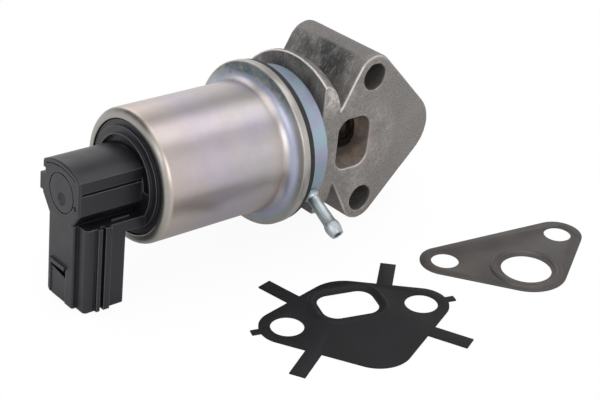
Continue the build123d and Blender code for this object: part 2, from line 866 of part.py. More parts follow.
# Rubber ring in the groove round the cap's shoulder
with BuildPart() as cap_oring:
    with BuildSketch(half_plane):
        with Locations((oring_x, oring_mid_r)):
            Circle(oring_r)
    revolve(axis=spin_axis)
cap_oring.part.label = "cap_oring"
export_step(cap_oring.part, "parts/cap_oring.step")

# Contact pins moulded into the shroud's roof
with BuildPart() as connector_pins:
    with BuildSketch(Plane.XY.offset(socket_roof - pin_free)):
        with Locations((socket_mid_x, shroud_mid_y)):
            with GridLocations(0, pin_pitch, 1, pin_count):
                Rectangle(pin_t, pin_w)
    extrude(amount=pin_free + pin_root)
connector_pins.part.label = "connector_pins"
export_step(connector_pins.part, "parts/connector_pins.step")

# Resistance track on the floor of the sensor cavity
with BuildPart() as sensor_track:
    with BuildSketch(Plane.XY.offset(sensor_cavity_low)):
        with Locations((cavity_end_x + assembly_gap + track_len / 2, axis_y)):
            Rectangle(track_len, track_w)
    extrude(amount=track_t)
sensor_track.part.label = "sensor_track"
export_step(sensor_track.part, "parts/sensor_track.step")

# Sensor carriage that the pintle's rod pushes
with BuildPart() as sensor_carriage:
    with BuildSketch(across(carriage_x)):
        with Locations((0, (carriage_high + carriage_low) / 2)):
            Rectangle(2 * (sensor_cavity_half - running_fit), carriage_high - carriage_low)
    extrude(amount=carriage_plate_t)
    with BuildSketch(across(carriage_x + carriage_plate_t)):
        Rectangle(carriage_w, -2 * carriage_low)
    extrude(amount=carriage_len - carriage_plate_t - carriage_nose_len)
    with BuildSketch(across(carriage_x + carriage_len - carriage_nose_len)):
        Circle(carriage_nose_r)
    extrude(amount=carriage_nose_len - seat_gap)
    with BuildSketch(across(carriage_x - carriage_pip_len)):
        Circle(carriage_pip_r)
    extrude(amount=carriage_pip_len)
sensor_carriage.part.label = "sensor_carriage"
export_step(sensor_carriage.part, "parts/sensor_carriage.step")

# Sprung contact under the carriage
with BuildPart() as sensor_wiper:
    with BuildSketch(half_plane):
        with BuildLine():
            wiper_start = carriage_x + carriage_plate_t
            wiper_low = sensor_cavity_low + track_t + running_fit
            Polyline(
                (wiper_start, carriage_low),
                (wiper_start + wiper_len, carriage_low),
                (wiper_start + wiper_len, carriage_low - wiper_t),
                (wiper_start + wiper_len / 3, carriage_low - wiper_t),
                (wiper_start + wiper_len, wiper_low + wiper_t),
                (wiper_start + wiper_len, wiper_low),
                (wiper_start + wiper_len - wiper_t, wiper_low),
                (wiper_start, carriage_low - wiper_t),
                close=True,
            )
        make_face()
    extrude(amount=wiper_w / 2, both=True)
sensor_wiper.part.label = "sensor_wiper"
export_step(sensor_wiper.part, "parts/sensor_wiper.step")

# Spring that keeps the carriage against the rod
with BuildPart() as sensor_spring:
    sensor_start_x = cavity_end_x + sensor_wire_r + assembly_gap
    sensor_height = carriage_x - sensor_wire_r - assembly_gap - sensor_start_x
    with BuildLine() as sensor_line:
        Helix(
            pitch=sensor_height / sensor_turns,
            height=sensor_height,
            radius=sensor_coil_r,
            center=(sensor_start_x, axis_y, 0),
            direction=(1, 0, 0),
        )
    with BuildSketch(Plane(origin=sensor_line.line @ 0, z_dir=sensor_line.line % 0)):
        Circle(sensor_wire_r)
    sweep(path=sensor_line.line, is_frenet=True)
sensor_spring.part.label = "sensor_spring"
export_step(sensor_spring.part, "parts/sensor_spring.step")

# Loose coated gasket for the front flange, with its locating tabs
coated_plane = Plane(ground.location * Location((*coated_place, 0), (0, 0, coated_turn)))
with BuildPart() as coated_gasket:
    with BuildSketch(coated_plane):
        with BuildLine():
            for side in (1, -1):
                CenterArc((side * bolt_pitch / 2, 0), coated_lobe_r, 0, 360)
            CenterArc((0, coated_top_y), coated_top_r, 0, 360)
            CenterArc((0, coated_chin_y), coated_chin_r, 0, 360)
        make_hull()
        for root, end in ((upper_tab_root, upper_tab_end), (lower_tab_root, lower_tab_end)):
            for side in (1, -1):
                run = (end[0] - root[0], end[1] - root[1])
                with Locations((side * (root[0] + end[0]) / 2, (root[1] + end[1]) / 2)):
                    Rectangle(hypot(*run), tab_w, rotation=side * degrees(atan2(run[1], run[0])))
        Rectangle(2 * side_tab_reach, side_tab_w)
        with GridLocations(bolt_pitch, 0, 2, 1):
            Circle(coated_hole_r, mode=Mode.SUBTRACT)
        with Locations((0, coated_top_y)):
            RectangleRounded(coated_port_w, coated_port_h, coated_port_corner, mode=Mode.SUBTRACT)
    extrude(amount=gasket_t)
    with BuildSketch(coated_plane.offset(gasket_t)):
        with Locations((0, coated_top_y)):
            bead_edges = ((coated_bead_gap + coated_bead_w, Mode.ADD), (coated_bead_gap, Mode.SUBTRACT))
            for margin, mode in bead_edges:
                RectangleRounded(
                    coated_port_w + 2 * margin,
                    coated_port_h + 2 * margin,
                    coated_port_corner + margin,
                    mode=mode,
                )
    extrude(amount=bead_h)
    chamfer(coated_gasket.faces().sort_by(Axis((0, 0, 0), rest_up))[-1].edges(), bead_edge)
coated_gasket.part.label = "coated_gasket"
export_step(coated_gasket.part, "parts/coated_gasket.step")

# Loose steel gasket for the rear flange
steel_plane = Plane(ground.location * Location((*steel_place, 0), (0, 0, steel_turn)))
with BuildPart() as steel_gasket:
    with BuildSketch(steel_plane):
        with BuildLine():
            for side in (1, -1):
                CenterArc((side * bolt_pitch / 2, 0), steel_lobe_r, 0, 360)
            CenterArc((0, steel_nose_y), steel_nose_r, 0, 360)
        make_hull()
        with GridLocations(bolt_pitch, 0, 2, 1):
            Circle(steel_hole_r, mode=Mode.SUBTRACT)
        with Locations((0, steel_nose_y)):
            Circle(steel_port_r, mode=Mode.SUBTRACT)
    extrude(amount=gasket_t)
    with BuildSketch(steel_plane.offset(gasket_t)):
        with Locations((0, steel_nose_y)):
            Circle(steel_bead_r + steel_bead_w / 2)
            Circle(steel_bead_r - steel_bead_w / 2, mode=Mode.SUBTRACT)
    extrude(amount=bead_h)
    chamfer(steel_gasket.faces().sort_by(Axis((0, 0, 0), rest_up))[-1].edges(), bead_edge)
steel_gasket.part.label = "steel_gasket"
export_step(steel_gasket.part, "parts/steel_gasket.step")
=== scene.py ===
"""An exhaust gas recirculation valve and its two loose gaskets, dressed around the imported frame."""
import math

import bpy
from bpy.props import FloatProperty, FloatVectorProperty, PointerProperty
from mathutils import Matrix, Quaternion, Vector


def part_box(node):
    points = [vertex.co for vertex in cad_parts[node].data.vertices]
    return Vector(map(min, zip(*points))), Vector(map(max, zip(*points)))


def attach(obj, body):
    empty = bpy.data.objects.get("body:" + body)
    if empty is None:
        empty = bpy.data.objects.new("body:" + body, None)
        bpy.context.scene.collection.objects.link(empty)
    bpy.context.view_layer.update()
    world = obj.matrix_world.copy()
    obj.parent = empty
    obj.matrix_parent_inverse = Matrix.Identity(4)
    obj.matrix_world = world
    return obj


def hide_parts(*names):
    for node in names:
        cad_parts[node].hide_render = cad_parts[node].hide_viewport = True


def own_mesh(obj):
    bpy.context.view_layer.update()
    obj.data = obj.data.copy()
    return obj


bl_info = {
    "name": "Exhaust gas valve",
    "version": (1, 0, 0),
    "blender": (4, 5, 0),
    "location": "View3D > Sidebar > Valve",
    "description": "Models the shells of an exhaust gas recirculation valve and finishes every piece",
    "category": "Add Mesh",
}

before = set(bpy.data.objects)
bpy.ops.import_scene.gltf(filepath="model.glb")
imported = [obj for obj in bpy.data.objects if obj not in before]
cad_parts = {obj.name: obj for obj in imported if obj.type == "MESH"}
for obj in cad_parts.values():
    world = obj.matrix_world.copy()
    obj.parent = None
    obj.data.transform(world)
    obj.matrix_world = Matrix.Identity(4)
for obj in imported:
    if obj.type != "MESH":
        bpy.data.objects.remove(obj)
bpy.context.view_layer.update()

MM = 0.001
FIT = 0.02 * MM          # how far a shell keeps from, or sinks into, the piece beside it
WELD = 0.002 * MM        # points nearer than this are one point
ROUND_STEPS = 160        # steps of a full turn on the large turned pieces
BULB_PARTS = 12          # parts of the hose bulb's profile
SHARP_TURN = 35          # degrees past which an edge of a CAD node's copy is sharp
ALONG_X = Vector((1, 0, 0))
UP = Vector((0, 0, 1))

can_low, can_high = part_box("solenoid_can")
ring_low, ring_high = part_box("base_ring")
seal_low, seal_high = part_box("rim_seal")
cap_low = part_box("connector_cap")[0]
casting_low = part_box("valve_body")[0]
AXIS_Y = (can_low.y + can_high.y) / 2
AXIS = Vector((0, AXIS_Y, 0))

# The nipple's turn from straight down towards the front, and the middle of the rib on the shroud's shelf
NIPPLE_ANGLE = math.radians(61.0)
SHELF_Z = -7.2 * MM
RIB_X = -86.7 * MM
RIB_Y = 6.7 * MM

# The surface that the valve rests on touches the shroud's lower back edge and the casting's low lobe
LOBE_R = 7.1 * MM
LOBE_Z = casting_low.z + LOBE_R
SHROUD_BACK_X = -85.4 * MM
REST_REACH = math.hypot(SHROUD_BACK_X, cap_low.z - LOBE_Z)
REST_SLOPE = math.atan2(LOBE_Z - cap_low.z, -SHROUD_BACK_X) - math.asin(LOBE_R / REST_REACH)
REST_UP = Vector((-math.sin(REST_SLOPE), 0, math.cos(REST_SLOPE)))
REST_ALONG = Vector((math.cos(REST_SLOPE), 0, math.sin(REST_SLOPE)))
REST_HEIGHT = LOBE_Z * math.cos(REST_SLOPE) - LOBE_R

# How each gasket lies on that surface, in millimetres: its middle, its turn in degrees, its port's
# middle, and the crest of the bead round the port: length, width and corner radius
COATED_BEAD = {"place": (-39.5, -40.2), "turn": -20.5, "port_y": 5.6, "port": (21.1, 16.3), "corner": 6.2}
STEEL_BEAD = {"place": (21.8, -40.1), "turn": -14.3, "port_y": -13.3, "port": (19.8, 19.8), "corner": 9.9}

# Stains on the casting, with the port's bloom lightened as painted light: the place, the distances in
# millimetres at which each is full and gone, its strength, and its colour's name
CAST_STAINS_AND_PORT_LIGHT = (
    ((-11, 14, 20), 9, 19, 0.55, "cast_dark"),
    ((-7, 15, 23), 4, 12, 1.0, "cast_dark"),
    ((-11, 4, 22), 0.5, 4, 0.85, "cast_dark"),
    ((-13, 27, 18), 2, 13, 0.9, "cast_dark"),
    # The port's brown bloom, lightened as painted light against the shade inside the port
    ((-3, 9, -1), 6.5, 11.5, 0.90, "port_bloom_painted_light"),
    ((-13, 1, -17), 1, 9, 0.55, "cast_brown"),
)
BOLT_HOLE_Z = 20.5 * MM      # how far each bolt hole is above or below the axis

# Each lamp: its place, the X that it is aimed at, its length and width, all in metres, and its watts
LAMPS = (
    ("overhead_strip", (0.09, -0.09, 0.75), 0.09, 1.20, 0.52, 2.9),
    ("fill_softbox", (-0.20, -0.66, 0.36), -0.03, 0.50, 0.50, 1.8),
    ("side_softbox", (0.52, -0.54, 0.38), -0.03, 0.60, 0.60, 0.45),
    ("cap_softbox", (-0.66, -0.10, 0.36), -0.03, 0.40, 0.40, 1.0),
    ("rim_softbox", (0.10, 0.60, 0.50), -0.03, 0.50, 0.50, 1.0),
)
FLOOR_SIZE = 4.0             # metres
AMBIENT = (0.45, 0.45, 0.46)     # the soft light from all round

# The camera's pose was solved from the photograph's round edges; the focal length is in its pixels
PHOTO_WIDTH = 600
FOCAL_PIXELS = 1500
SENSOR_WIDTH = 36.0
CAMERA_PLACE = Vector((-302.7, -290.2, 191.8)) * MM
CAMERA_AIM = Vector((-32.46, -7.18, -9.36)) * MM
CAMERA_ROLL = math.radians(6.22)


def paint(code):
    """An sRGB hex colour as linear red, green and blue."""
    parts = [int(code[i:i + 2], 16) / 255 for i in (1, 3, 5)]
    return [c / 12.92 if c <= 0.04045 else ((c + 0.055) / 1.055) ** 2.4 for c in parts]


def size_of(name, text, millimetres):
    """A length property whose default is given in millimetres."""
    return FloatProperty(name=name, description=text, default=millimetres * MM, min=0.0,
                         subtype="DISTANCE", unit="LENGTH", precision=5)


def colour_of(name, text, code):
    """A colour property whose default is given as sRGB hex."""
    return FloatVectorProperty(name=name, description=text, default=paint(code), size=3,
                               subtype="COLOR", min=0.0, max=1.0)


class ValveSizes(bpy.types.PropertyGroup):
    """Sizes of the pieces that are modelled here"""
    can_radius: size_of("Can radius", "Outer radius of the can's barrel", 19.9)
    can_wall: size_of("Can wall", "Thickness of the can's sheet", 1.0)
    can_lip: size_of("Can mouth", "Radius of the opening in the turned-in lip", 16.9)
    can_shoulder: size_of("Can shoulder", "Radius of the bend at the can's mouth", 2.2)
    can_flare: size_of("Can flare", "Radius of the hollow bend under the rim", 4.0)
    rim_width: size_of("Rim width", "Length of the rolled rim along the axis", 2.6)
    rim_edge: size_of("Rim edge", "Rounding of the rim's front edge", 0.5)
    edge_break: size_of("Edge break", "Width of the rounding on pressed and turned edges", 0.35)
    cast_voxel: size_of("Cast skin", "Edge length of the casting's mesh", 0.45)
    cast_pit: size_of("Cast pits", "Depth of the sand-like dimples in the casting's skin", 0.06)
    cast_ripple: size_of("Cast ripple", "Depth of the slow waves in the casting's skin", 0.03)
    band_radius: size_of("Band radius", "Outer radius of the base ring's band", 22.1)
    band_length: size_of("Band length", "Length of the base ring's band along the axis", 6.0)
    flange_thickness: size_of("Ring flange", "Thickness of the base ring's flange", 1.5)
    neck_radius: size_of("Neck radius", "Outer radius of the base ring's neck", 16.5)
    neck_length: size_of("Neck length", "Length of the neck between band and collar", 2.6)
    stem_passage: size_of("Stem passage", "Radius of the base ring's hole for the stem", 2.85)
    seal_round: size_of("Seal round", "Rounding of the rubber ring's edges", 0.2)
    seal_bulge: size_of("Seal bulge", "How far the squeezed rubber stands beyond its free radius", 0.6)
    nipple_bore: size_of("Nipple bore", "Radius of the nipple's drilled hole", 1.2)
    nipple_tube: size_of("Nipple tube", "Outer radius of the nipple's tube", 1.85)
    nipple_collar: size_of("Nipple collar", "Radius of the collar at the nipple's root", 2.4)
    nipple_collar_length: size_of("Nipple collar length", "Length of that collar's full radius", 0.8)
    nipple_fillet: size_of("Nipple fillet", "Radius of the hollow from the collar to the tube", 1.2)
    nipple_bulb: size_of("Nipple bulb", "Largest radius of the hose bulb", 2.45)
    nipple_bulb_length: size_of("Bulb length", "Length of the hose bulb", 4.6)
    nipple_reach: size_of("Nipple reach", "Length of the nipple outside the band", 15.5)
    nipple_socket: size_of("Nipple socket", "Depth to which the nipple is pressed in", 4.0)
    rib_length: size_of("Shelf rib length", "Length of the small rib on the plug shroud's shelf", 6.2)
    rib_width: size_of("Shelf rib width", "Width of the small rib", 0.7)
    rib_height: size_of("Shelf rib height", "How far the rib stands above the shelf", 0.7)
    rib_round: size_of("Shelf rib round", "Rounding of the rib's edges", 0.15)
    sheet_thickness: size_of("Sheet thickness", "Thickness of the gaskets' sheet", 0.5)
    bead_width: size_of("Bead width", "Width of the gaskets' pressed beads", 2.4)
    bead_height: size_of("Bead height", "Height of the gaskets' pressed beads", 0.7)
    sheet_edge: size_of("Sheet edge", "Rounding of the gaskets' edges and bead", 0.07)


class ValveColours(bpy.types.PropertyGroup):
    """Colours of the finishes"""
    can_base: colour_of("Can", "Satin zinc of the can", "#b5b2b3")
    can_rose: colour_of("Can rose", "Rose tint of the can's passivation", "#c3b3a9")
    can_lilac: colour_of("Can lilac", "Lilac tint of the can's passivation", "#b1adc1")
    can_blue: colour_of("Can blue", "Blue tint in the flare", "#a3aabd")
    can_sea: colour_of("Can sea", "Blue-green tint in the flare", "#a2b2ba")
    can_burr: colour_of("Can burr", "Dark line on the bend at the can's mouth", "#3a352f")
    lip_olive: colour_of("Can lip", "Dull olive tint on the can's turned-in lip", "#9f9e98")
    rim_beige: colour_of("Rim", "Beige tint of the rolled rim", "#aeaaa6")
    ring_blue: colour_of("Ring", "Blue zinc of the base ring", "#9fb0bd")
    ring_lilac: colour_of("Ring lilac", "Lilac bloom on the base ring", "#a6a6bf")
    nipple_zinc: colour_of("Nipple", "Bright zinc of the nipple", "#b6bcc2")
    nipple_grey: colour_of("Nipple grey", "Duller zinc on the nipple", "#989a98")
    cast_grey: colour_of("Casting", "Grey of the cast aluminium", "#85817e")
    # Also used for painted shade on the casting's top and in its bolt holes
    cast_dark: colour_of("Casting stain", "Dark stain on the casting", "#3c3b3c")
    cast_brown: colour_of("Casting soot", "Brown bloom under the port", "#5f5046")
    # Lightened inside the port as painted light
    port_bloom_painted_light: colour_of("Port soot", "Brown bloom in the port", "#ccb29f")
    # Also a painted highlight on the casting's edges and on the collar's bright patch
    cast_bare_and_highlight: colour_of("Casting worn", "Bare metal on worn and ground edges", "#d2cbc6")
    plastic: colour_of("Plastic", "Moulded cap", "#14131a")
    # A painted highlight along the outside edges of moulded pieces
    plastic_edge_highlight: colour_of("Plastic scuff", "Scuffed outside edges of moulded pieces", "#7d7d82")
    rubber: colour_of("Rubber", "Seals", "#0f0f11")
    rubber_bloom: colour_of("Rubber bloom", "Faint bloom on the seals", "#222225")
    coating: colour_of("Coating", "Coated gasket", "#131315")
    coating_scuff: colour_of("Coating scuff", "Scuffs on the coated gasket", "#1b1a1e")
    sheet_steel: colour_of("Sheet steel", "Bare steel gasket", "#575351")


def join(tree, socket, value):
    """Gives a socket a value, or links it to another socket or to a node's first shown output."""
    if isinstance(value, bpy.types.Node):
        value = next(output for output in value.outputs if output.enabled)
    if isinstance(value, bpy.types.NodeSocket):
        tree.links.new(value, socket)
    else:
        socket.default_value = (*value, 1) if socket.type == "RGBA" else value


def join_named(tree, node, values):
    """Joins some of a node's sockets, given by name."""
    for name, value in values.items():
        join(tree, node.inputs[name], value)


def add(tree, kind, inputs=(), stops=(), **settings):
    """Adds a shader node with its settings. The inputs are values, sockets or nodes, and come in the
    order in which the node shows them, or by name."""
    made = tree.nodes.new("ShaderNode" + kind)
    for name, value in settings.items():
        setattr(made, name, value)
    if isinstance(inputs, dict):
        join_named(tree, made, inputs)
    else:
        shown = [socket for socket in made.inputs if socket.enabled]
        for socket, value in zip(shown, inputs):
            join(tree, socket, value)
    for number, (place, colour) in enumerate(stops):
        elements = made.color_ramp.elements
        stop = elements[number] if number < 2 else elements.new(place)
        stop.position = place
        stop.color = (*colour, 1)
    return made


def new_finish(name):
    """A material, its node tree, its shader and its object coordinates."""
    material = bpy.data.materials.new(name)
    material.use_nodes = True
    tree = material.node_tree
    where = add(tree, "TexCoord").outputs["Object"]
    return material, tree, tree.nodes["Principled BSDF"], where


def per(millimetres):
    """The scale of a pattern whose features are that wide."""
    return 1 / (millimetres * MM)


def grey(level):
    """A neutral colour."""
    return (level, level, level)


def times(colour, share):
    """A colour made darker or lighter."""
    return [c * share for c in colour]


def line_reach(tree, where, place, axis):
    """The distance from a line that runs through a place along one of the axes."""
    across = [0 if name == axis else 1 for name in "XYZ"]
    offset = add(tree, "Mapping", {"Vector": where, "Location": place, "Scale": across},
                 vector_type="TEXTURE")
    return add(tree, "VectorMath", (offset,), operation="LENGTH")


def near_place(tree, where, place, inner, outer, amount):
    """A factor that is full within the inner distance of a place and fades out at the outer one, all in
    millimetres."""
    gap = add(tree, "VectorMath", (where, times(place, MM)), operation="DISTANCE")
    return add(tree, "MapRange", (gap, inner * MM, outer * MM, amount, 0.0))


def drifted_by(tree, where, width, reach):
    """Coordinates that wander with noise of the given width, as far as the reach, in millimetres."""
    noise = add(tree, "TexNoise", {"Vector": where, "Scale": per(width), "Detail": 5.0, "Roughness": 0.65})
    span = [2 * reach * MM] * 3
    moved = add(tree, "VectorMath", (noise.outputs["Color"], span, where), operation="MULTIPLY_ADD")
    return add(tree, "VectorMath", (moved, [reach * MM] * 3), operation="SUBTRACT")


def edge_highlight_factor(tree, radius, gain):
    """The rounded normal, and a factor for a painted highlight that rises along outside edges within the
    given radius of them.
    """
    rounded = add(tree, "Bevel", (radius,), samples=6)
    plain = add(tree, "NewGeometry").outputs["Normal"]
    meet = add(tree, "VectorMath", (rounded, plain), operation="DOT_PRODUCT")
    turn = add(tree, "Math", (1.0, meet), operation="SUBTRACT")
    lift = add(tree, "Math", (turn, gain), operation="MULTIPLY", use_clamp=True)
    openness = add(tree, "AmbientOcclusion", {"Distance": 2 * radius}, samples=6).outputs["AO"]
    outside = add(tree, "MapRange", (openness, 0.75, 0.98))
    return rounded, add(tree, "Math", (lift, outside), operation="MULTIPLY")


def satin_zinc(colours):
    """Deep-drawn steel, zinc-plated and passivated: a satin metal whose thin film shows rose and lilac
    clouds on the barrel and rings of tint where the flare bends, with blue-grey dirt on the flare's upper
    side, a dark line on the upper bend at the mouth, and faint draw marks along the can."""
    material, tree, shader, where = new_finish("satin_zinc_plated_steel")
    split = add(tree, "SeparateXYZ", (where,)).outputs
    reach = line_reach(tree, where, (0, AXIS_Y, 0), "X")

    # Clouds of tint, warmer towards the mouth, and a dull lip
    cloud = add(tree, "TexNoise", {"Vector": where, "Scale": per(24), "Detail": 2.0})
    tint = add(tree, "ValToRGB", (cloud,), stops=[
        (0.26, colours.can_rose), (0.62, colours.can_lilac), (0.42, colours.can_base)])
    warm = add(tree, "MapRange", (split["X"], -77 * MM, -64 * MM, 0.7, 0.0))
    colour = add(tree, "Mix", (warm, tint, colours.can_rose), data_type="RGBA")
    lip = add(tree, "MapRange", (split["X"], -78.4 * MM, -77.4 * MM, 0.85, 0.0))
    colour = add(tree, "Mix", (lip, colour, colours.lip_olive), data_type="RGBA")

    # Rings of tint round the flare's bend, a little out of round
    bend_start = 20.2 * MM
    swirl = add(tree, "TexNoise", {"Vector": where, "Scale": per(30), "Detail": 1.0})
    wave = add(tree, "Math", (swirl, 1.2 * MM, reach), operation="MULTIPLY_ADD")
    bend = add(tree, "MapRange", (wave, bend_start, 25.8 * MM))
    rings = add(tree, "ValToRGB", (bend,), stops=[
        (0.05, colours.can_rose), (0.95, colours.rim_beige), (0.22, colours.can_blue),
        (0.42, colours.can_lilac), (0.60, colours.can_sea), (0.80, colours.rim_beige)])
    in_flare = add(tree, "MapRange", (wave, bend_start, 21.0 * MM))
    colour = add(tree, "Mix", (in_flare, colour, rings), data_type="RGBA")

    # Dirt on the flare's upper side, inside the rim
    high = add(tree, "MapRange", (split["Z"], 13 * MM, 21 * MM))
    out = add(tree, "MapRange", (wave, 21.2 * MM, 22.6 * MM))
    blotch = add(tree, "TexNoise", {"Vector": where, "Scale": per(2.4), "Detail": 5.0, "Roughness": 0.7})
    grime = add(tree, "ValToRGB", (blotch,), stops=[
        (0.38, paint("#53636c")), (0.66, paint("#938f83")), (0.52, paint("#70777a"))])
    inside_rim = add(tree, "MapRange", (reach, 24.7 * MM, 25.0 * MM, 0.95, 0.0))
    dirty = add(tree, "Math", (high, out), operation="MULTIPLY")
    dirty = add(tree, "Math", (dirty, inside_rim), operation="MULTIPLY")
    colour = add(tree, "Mix", (dirty, colour, grime), data_type="RGBA")

    # The dark line on the upper bend at the mouth
    from_bend = add(tree, "Math", (split["X"], 78.35 * MM), operation="ADD")
    from_bend = add(tree, "Math", (from_bend,), operation="ABSOLUTE")
    line = add(tree, "MapRange", (from_bend, 0.15 * MM, 0.8 * MM, 1.6, 0.0))
    line = add(tree, "Math", (line, blotch), operation="MULTIPLY")
    line = add(tree, "Math", (line, high), operation="MULTIPLY", use_clamp=True)
    colour = add(tree, "Mix", (line, colour, colours.can_burr), data_type="RGBA")

    # Handling film all over, and draw marks along the can
    smear = add(tree, "TexNoise", {"Vector": where, "Scale": per(6), "Detail": 5.0, "Roughness": 0.7})
    film = add(tree, "MapRange", (smear, 0.3, 0.7, 0.93, 1.04))
    colour = add(tree, "Mix", (1.0, colour, film), data_type="RGBA", blend_type="MULTIPLY")
    stretched = add(tree, "Mapping", {"Vector": where, "Scale": (0.06, 1, 1)})
    draw = add(tree, "TexNoise", {"Vector": stretched, "Scale": per(0.8), "Detail": 3.0})
    rough = add(tree, "MapRange", (draw, 0.0, 1.0, 0.33, 0.41))
    rough = add(tree, "Math", (dirty, 0.25, rough), operation="MULTIPLY_ADD")
    bump = add(tree, "Bump", {"Height": draw, "Strength": 0.05, "Distance": 0.1 * MM})
    join_named(tree, shader, {"Base Color": colour, "Metallic": 1.0, "Roughness": rough, "Normal": bump})
    return material


def blue_zinc(name, colour, haze, roughness):
    """Turned steel with blue-passivated zinc: a cloudy film that goes from blue-green to its haze colour,
    over fine rings left by the lathe."""
    material, tree, shader, where = new_finish(name)
    cloud = add(tree, "TexNoise", {"Vector": where, "Scale": per(6), "Detail": 6.0, "Roughness": 0.7})
    sea = [colour[0] * 0.92, colour[1] * 1.06, colour[2] * 0.98]
    tint = add(tree, "ValToRGB", (cloud,), stops=[(0.36, sea), (0.62, haze), (0.48, colour)])
    lathe = add(tree, "Mapping", {"Vector": where, "Scale": (1, 0.05, 0.05)})
    marks = add(tree, "TexNoise", {"Vector": lathe, "Scale": per(0.4), "Detail": 2.0})
    soft = add(tree, "Bevel", (0.2 * MM,), samples=4)
    bump = add(tree, "Bump", {"Height": marks, "Strength": 0.06, "Distance": 0.1 * MM, "Normal": soft})
    join_named(tree, shader, {"Base Color": tint, "Metallic": 1.0, "Roughness": roughness, "Normal": bump})
    return material


def cast_stains_and_painted_light(tree, height, behind, patch, drifted, colours, colour):
    """Lays the casting's stains and painted light over a colour: painted shade on the top behind the front
    face, and
    CAST_STAINS_AND_PORT_LIGHT, broken up by the patches and kept off the upper lobe's top."""
    # Painted shade darkens the top behind the front face
    top = add(tree, "MapRange", (height, 23 * MM, 27 * MM, 0.0, 0.3))
    dull = add(tree, "Math", (top, behind), operation="MULTIPLY")
    colour = add(tree, "Mix", (dull, colour, colours.cast_dark), data_type="RGBA")
    wander = add(tree, "MapRange", (patch, 0.42, 0.58, 0.15, 1.3))
    lobe = add(tree, "MapRange", (height, 26.2 * MM, 26.8 * MM, 1.0, 0.1))
    wander = add(tree, "Math", (wander, lobe), operation="MULTIPLY")
    for place, inner, outer, amount, shade in CAST_STAINS_AND_PORT_LIGHT:
        spot = near_place(tree, drifted, place, inner, outer, amount)
        factor = add(tree, "Math", (spot, wander), operation="MULTIPLY", use_clamp=True)
        colour = add(tree, "Mix", (factor, colour, getattr(colours, shade)), data_type="RGBA")
    return colour


def cast_scratches_and_hole_shade(tree, where, along, behind, colours, colour):
    """Lays faint upright scratches over the flank's colour, behind the front face, and painted shade in the
    bolt holes.
    """
    drawn = add(tree, "Mapping", {"Vector": where, "Scale": (1, 1, 0.08)})
    scratch = add(tree, "TexNoise", {"Vector": drawn, "Scale": per(0.9), "Detail": 2.0})
    scratch = add(tree, "MapRange", (scratch, 0.56, 0.70, 0.0, 0.22))
    flank = add(tree, "MapRange", (along, -3 * MM, -5 * MM))
    for limit in (flank, behind):
        scratch = add(tree, "Math", (scratch, limit), operation="MULTIPLY")
    colour = add(tree, "Mix", (scratch, colour, colours.cast_bare_and_highlight), data_type="RGBA")
    # Painted shade inside the bolt holes
    for side in (1, -1):
        gap = line_reach(tree, where, (0, 0, side * BOLT_HOLE_Z), "Y")
        bore = add(tree, "MapRange", (gap, 4.2 * MM, 4.6 * MM, 0.6, 0.0))
        colour = add(tree, "Mix", (bore, colour, colours.cast_dark), data_type="RGBA")
    return colour


def cast_wear_and_edge_highlight(tree, where, split, patch):
    """A factor for pale edges, partly bare metal and partly painted highlight: the front face's edge on the
    left and round the port, the collar's front rim, and the long edge beside the upper lobe."""
    back = add(tree, "MapRange", (split["Y"], 0.02 * MM, 0.12 * MM))
    front = add(tree, "MapRange", (split["Y"], 0.3 * MM, 0.55 * MM, 1.0, 0.0))
    edge = add(tree, "Math", (back, front), operation="MULTIPLY")
    worn = add(tree, "MapRange", (patch, 0.38, 0.55, 0.25, 0.85))
    edge = add(tree, "Math", (edge, worn), operation="MULTIPLY")
    left = add(tree, "MapRange", (split["X"], 1 * MM, 5 * MM, 1.0, 0.1))
    by_port = near_place(tree, where, (-2, 0, 0), 12, 15, 1.0)
    handled = add(tree, "Math", (left, by_port), operation="MAXIMUM")
    edge = add(tree, "Math", (edge, handled), operation="MULTIPLY")
    # The collar's front rim is lightened as a painted highlight along its edge
    rim = add(tree, "MapRange", (line_reach(tree, where, (0, AXIS_Y, 0), "X"), 25.4 * MM, 25.7 * MM))
    collar_front = add(tree, "MapRange", (split["X"], -19.6 * MM, -19.1 * MM, 1.0, 0.0))
    rim = add(tree, "Math", (rim, collar_front), operation="MULTIPLY")
    beside_lobe = line_reach(tree, where, (-4.7 * MM, 0, 26.7 * MM), "Y")
    long_edge = add(tree, "MapRange", (beside_lobe, 0.2 * MM, 0.7 * MM, 0.45, 0.0))
    rim = add(tree, "Math", (rim, long_edge), operation="MAXIMUM")
    return add(tree, "Math", (edge, rim), operation="MAXIMUM")


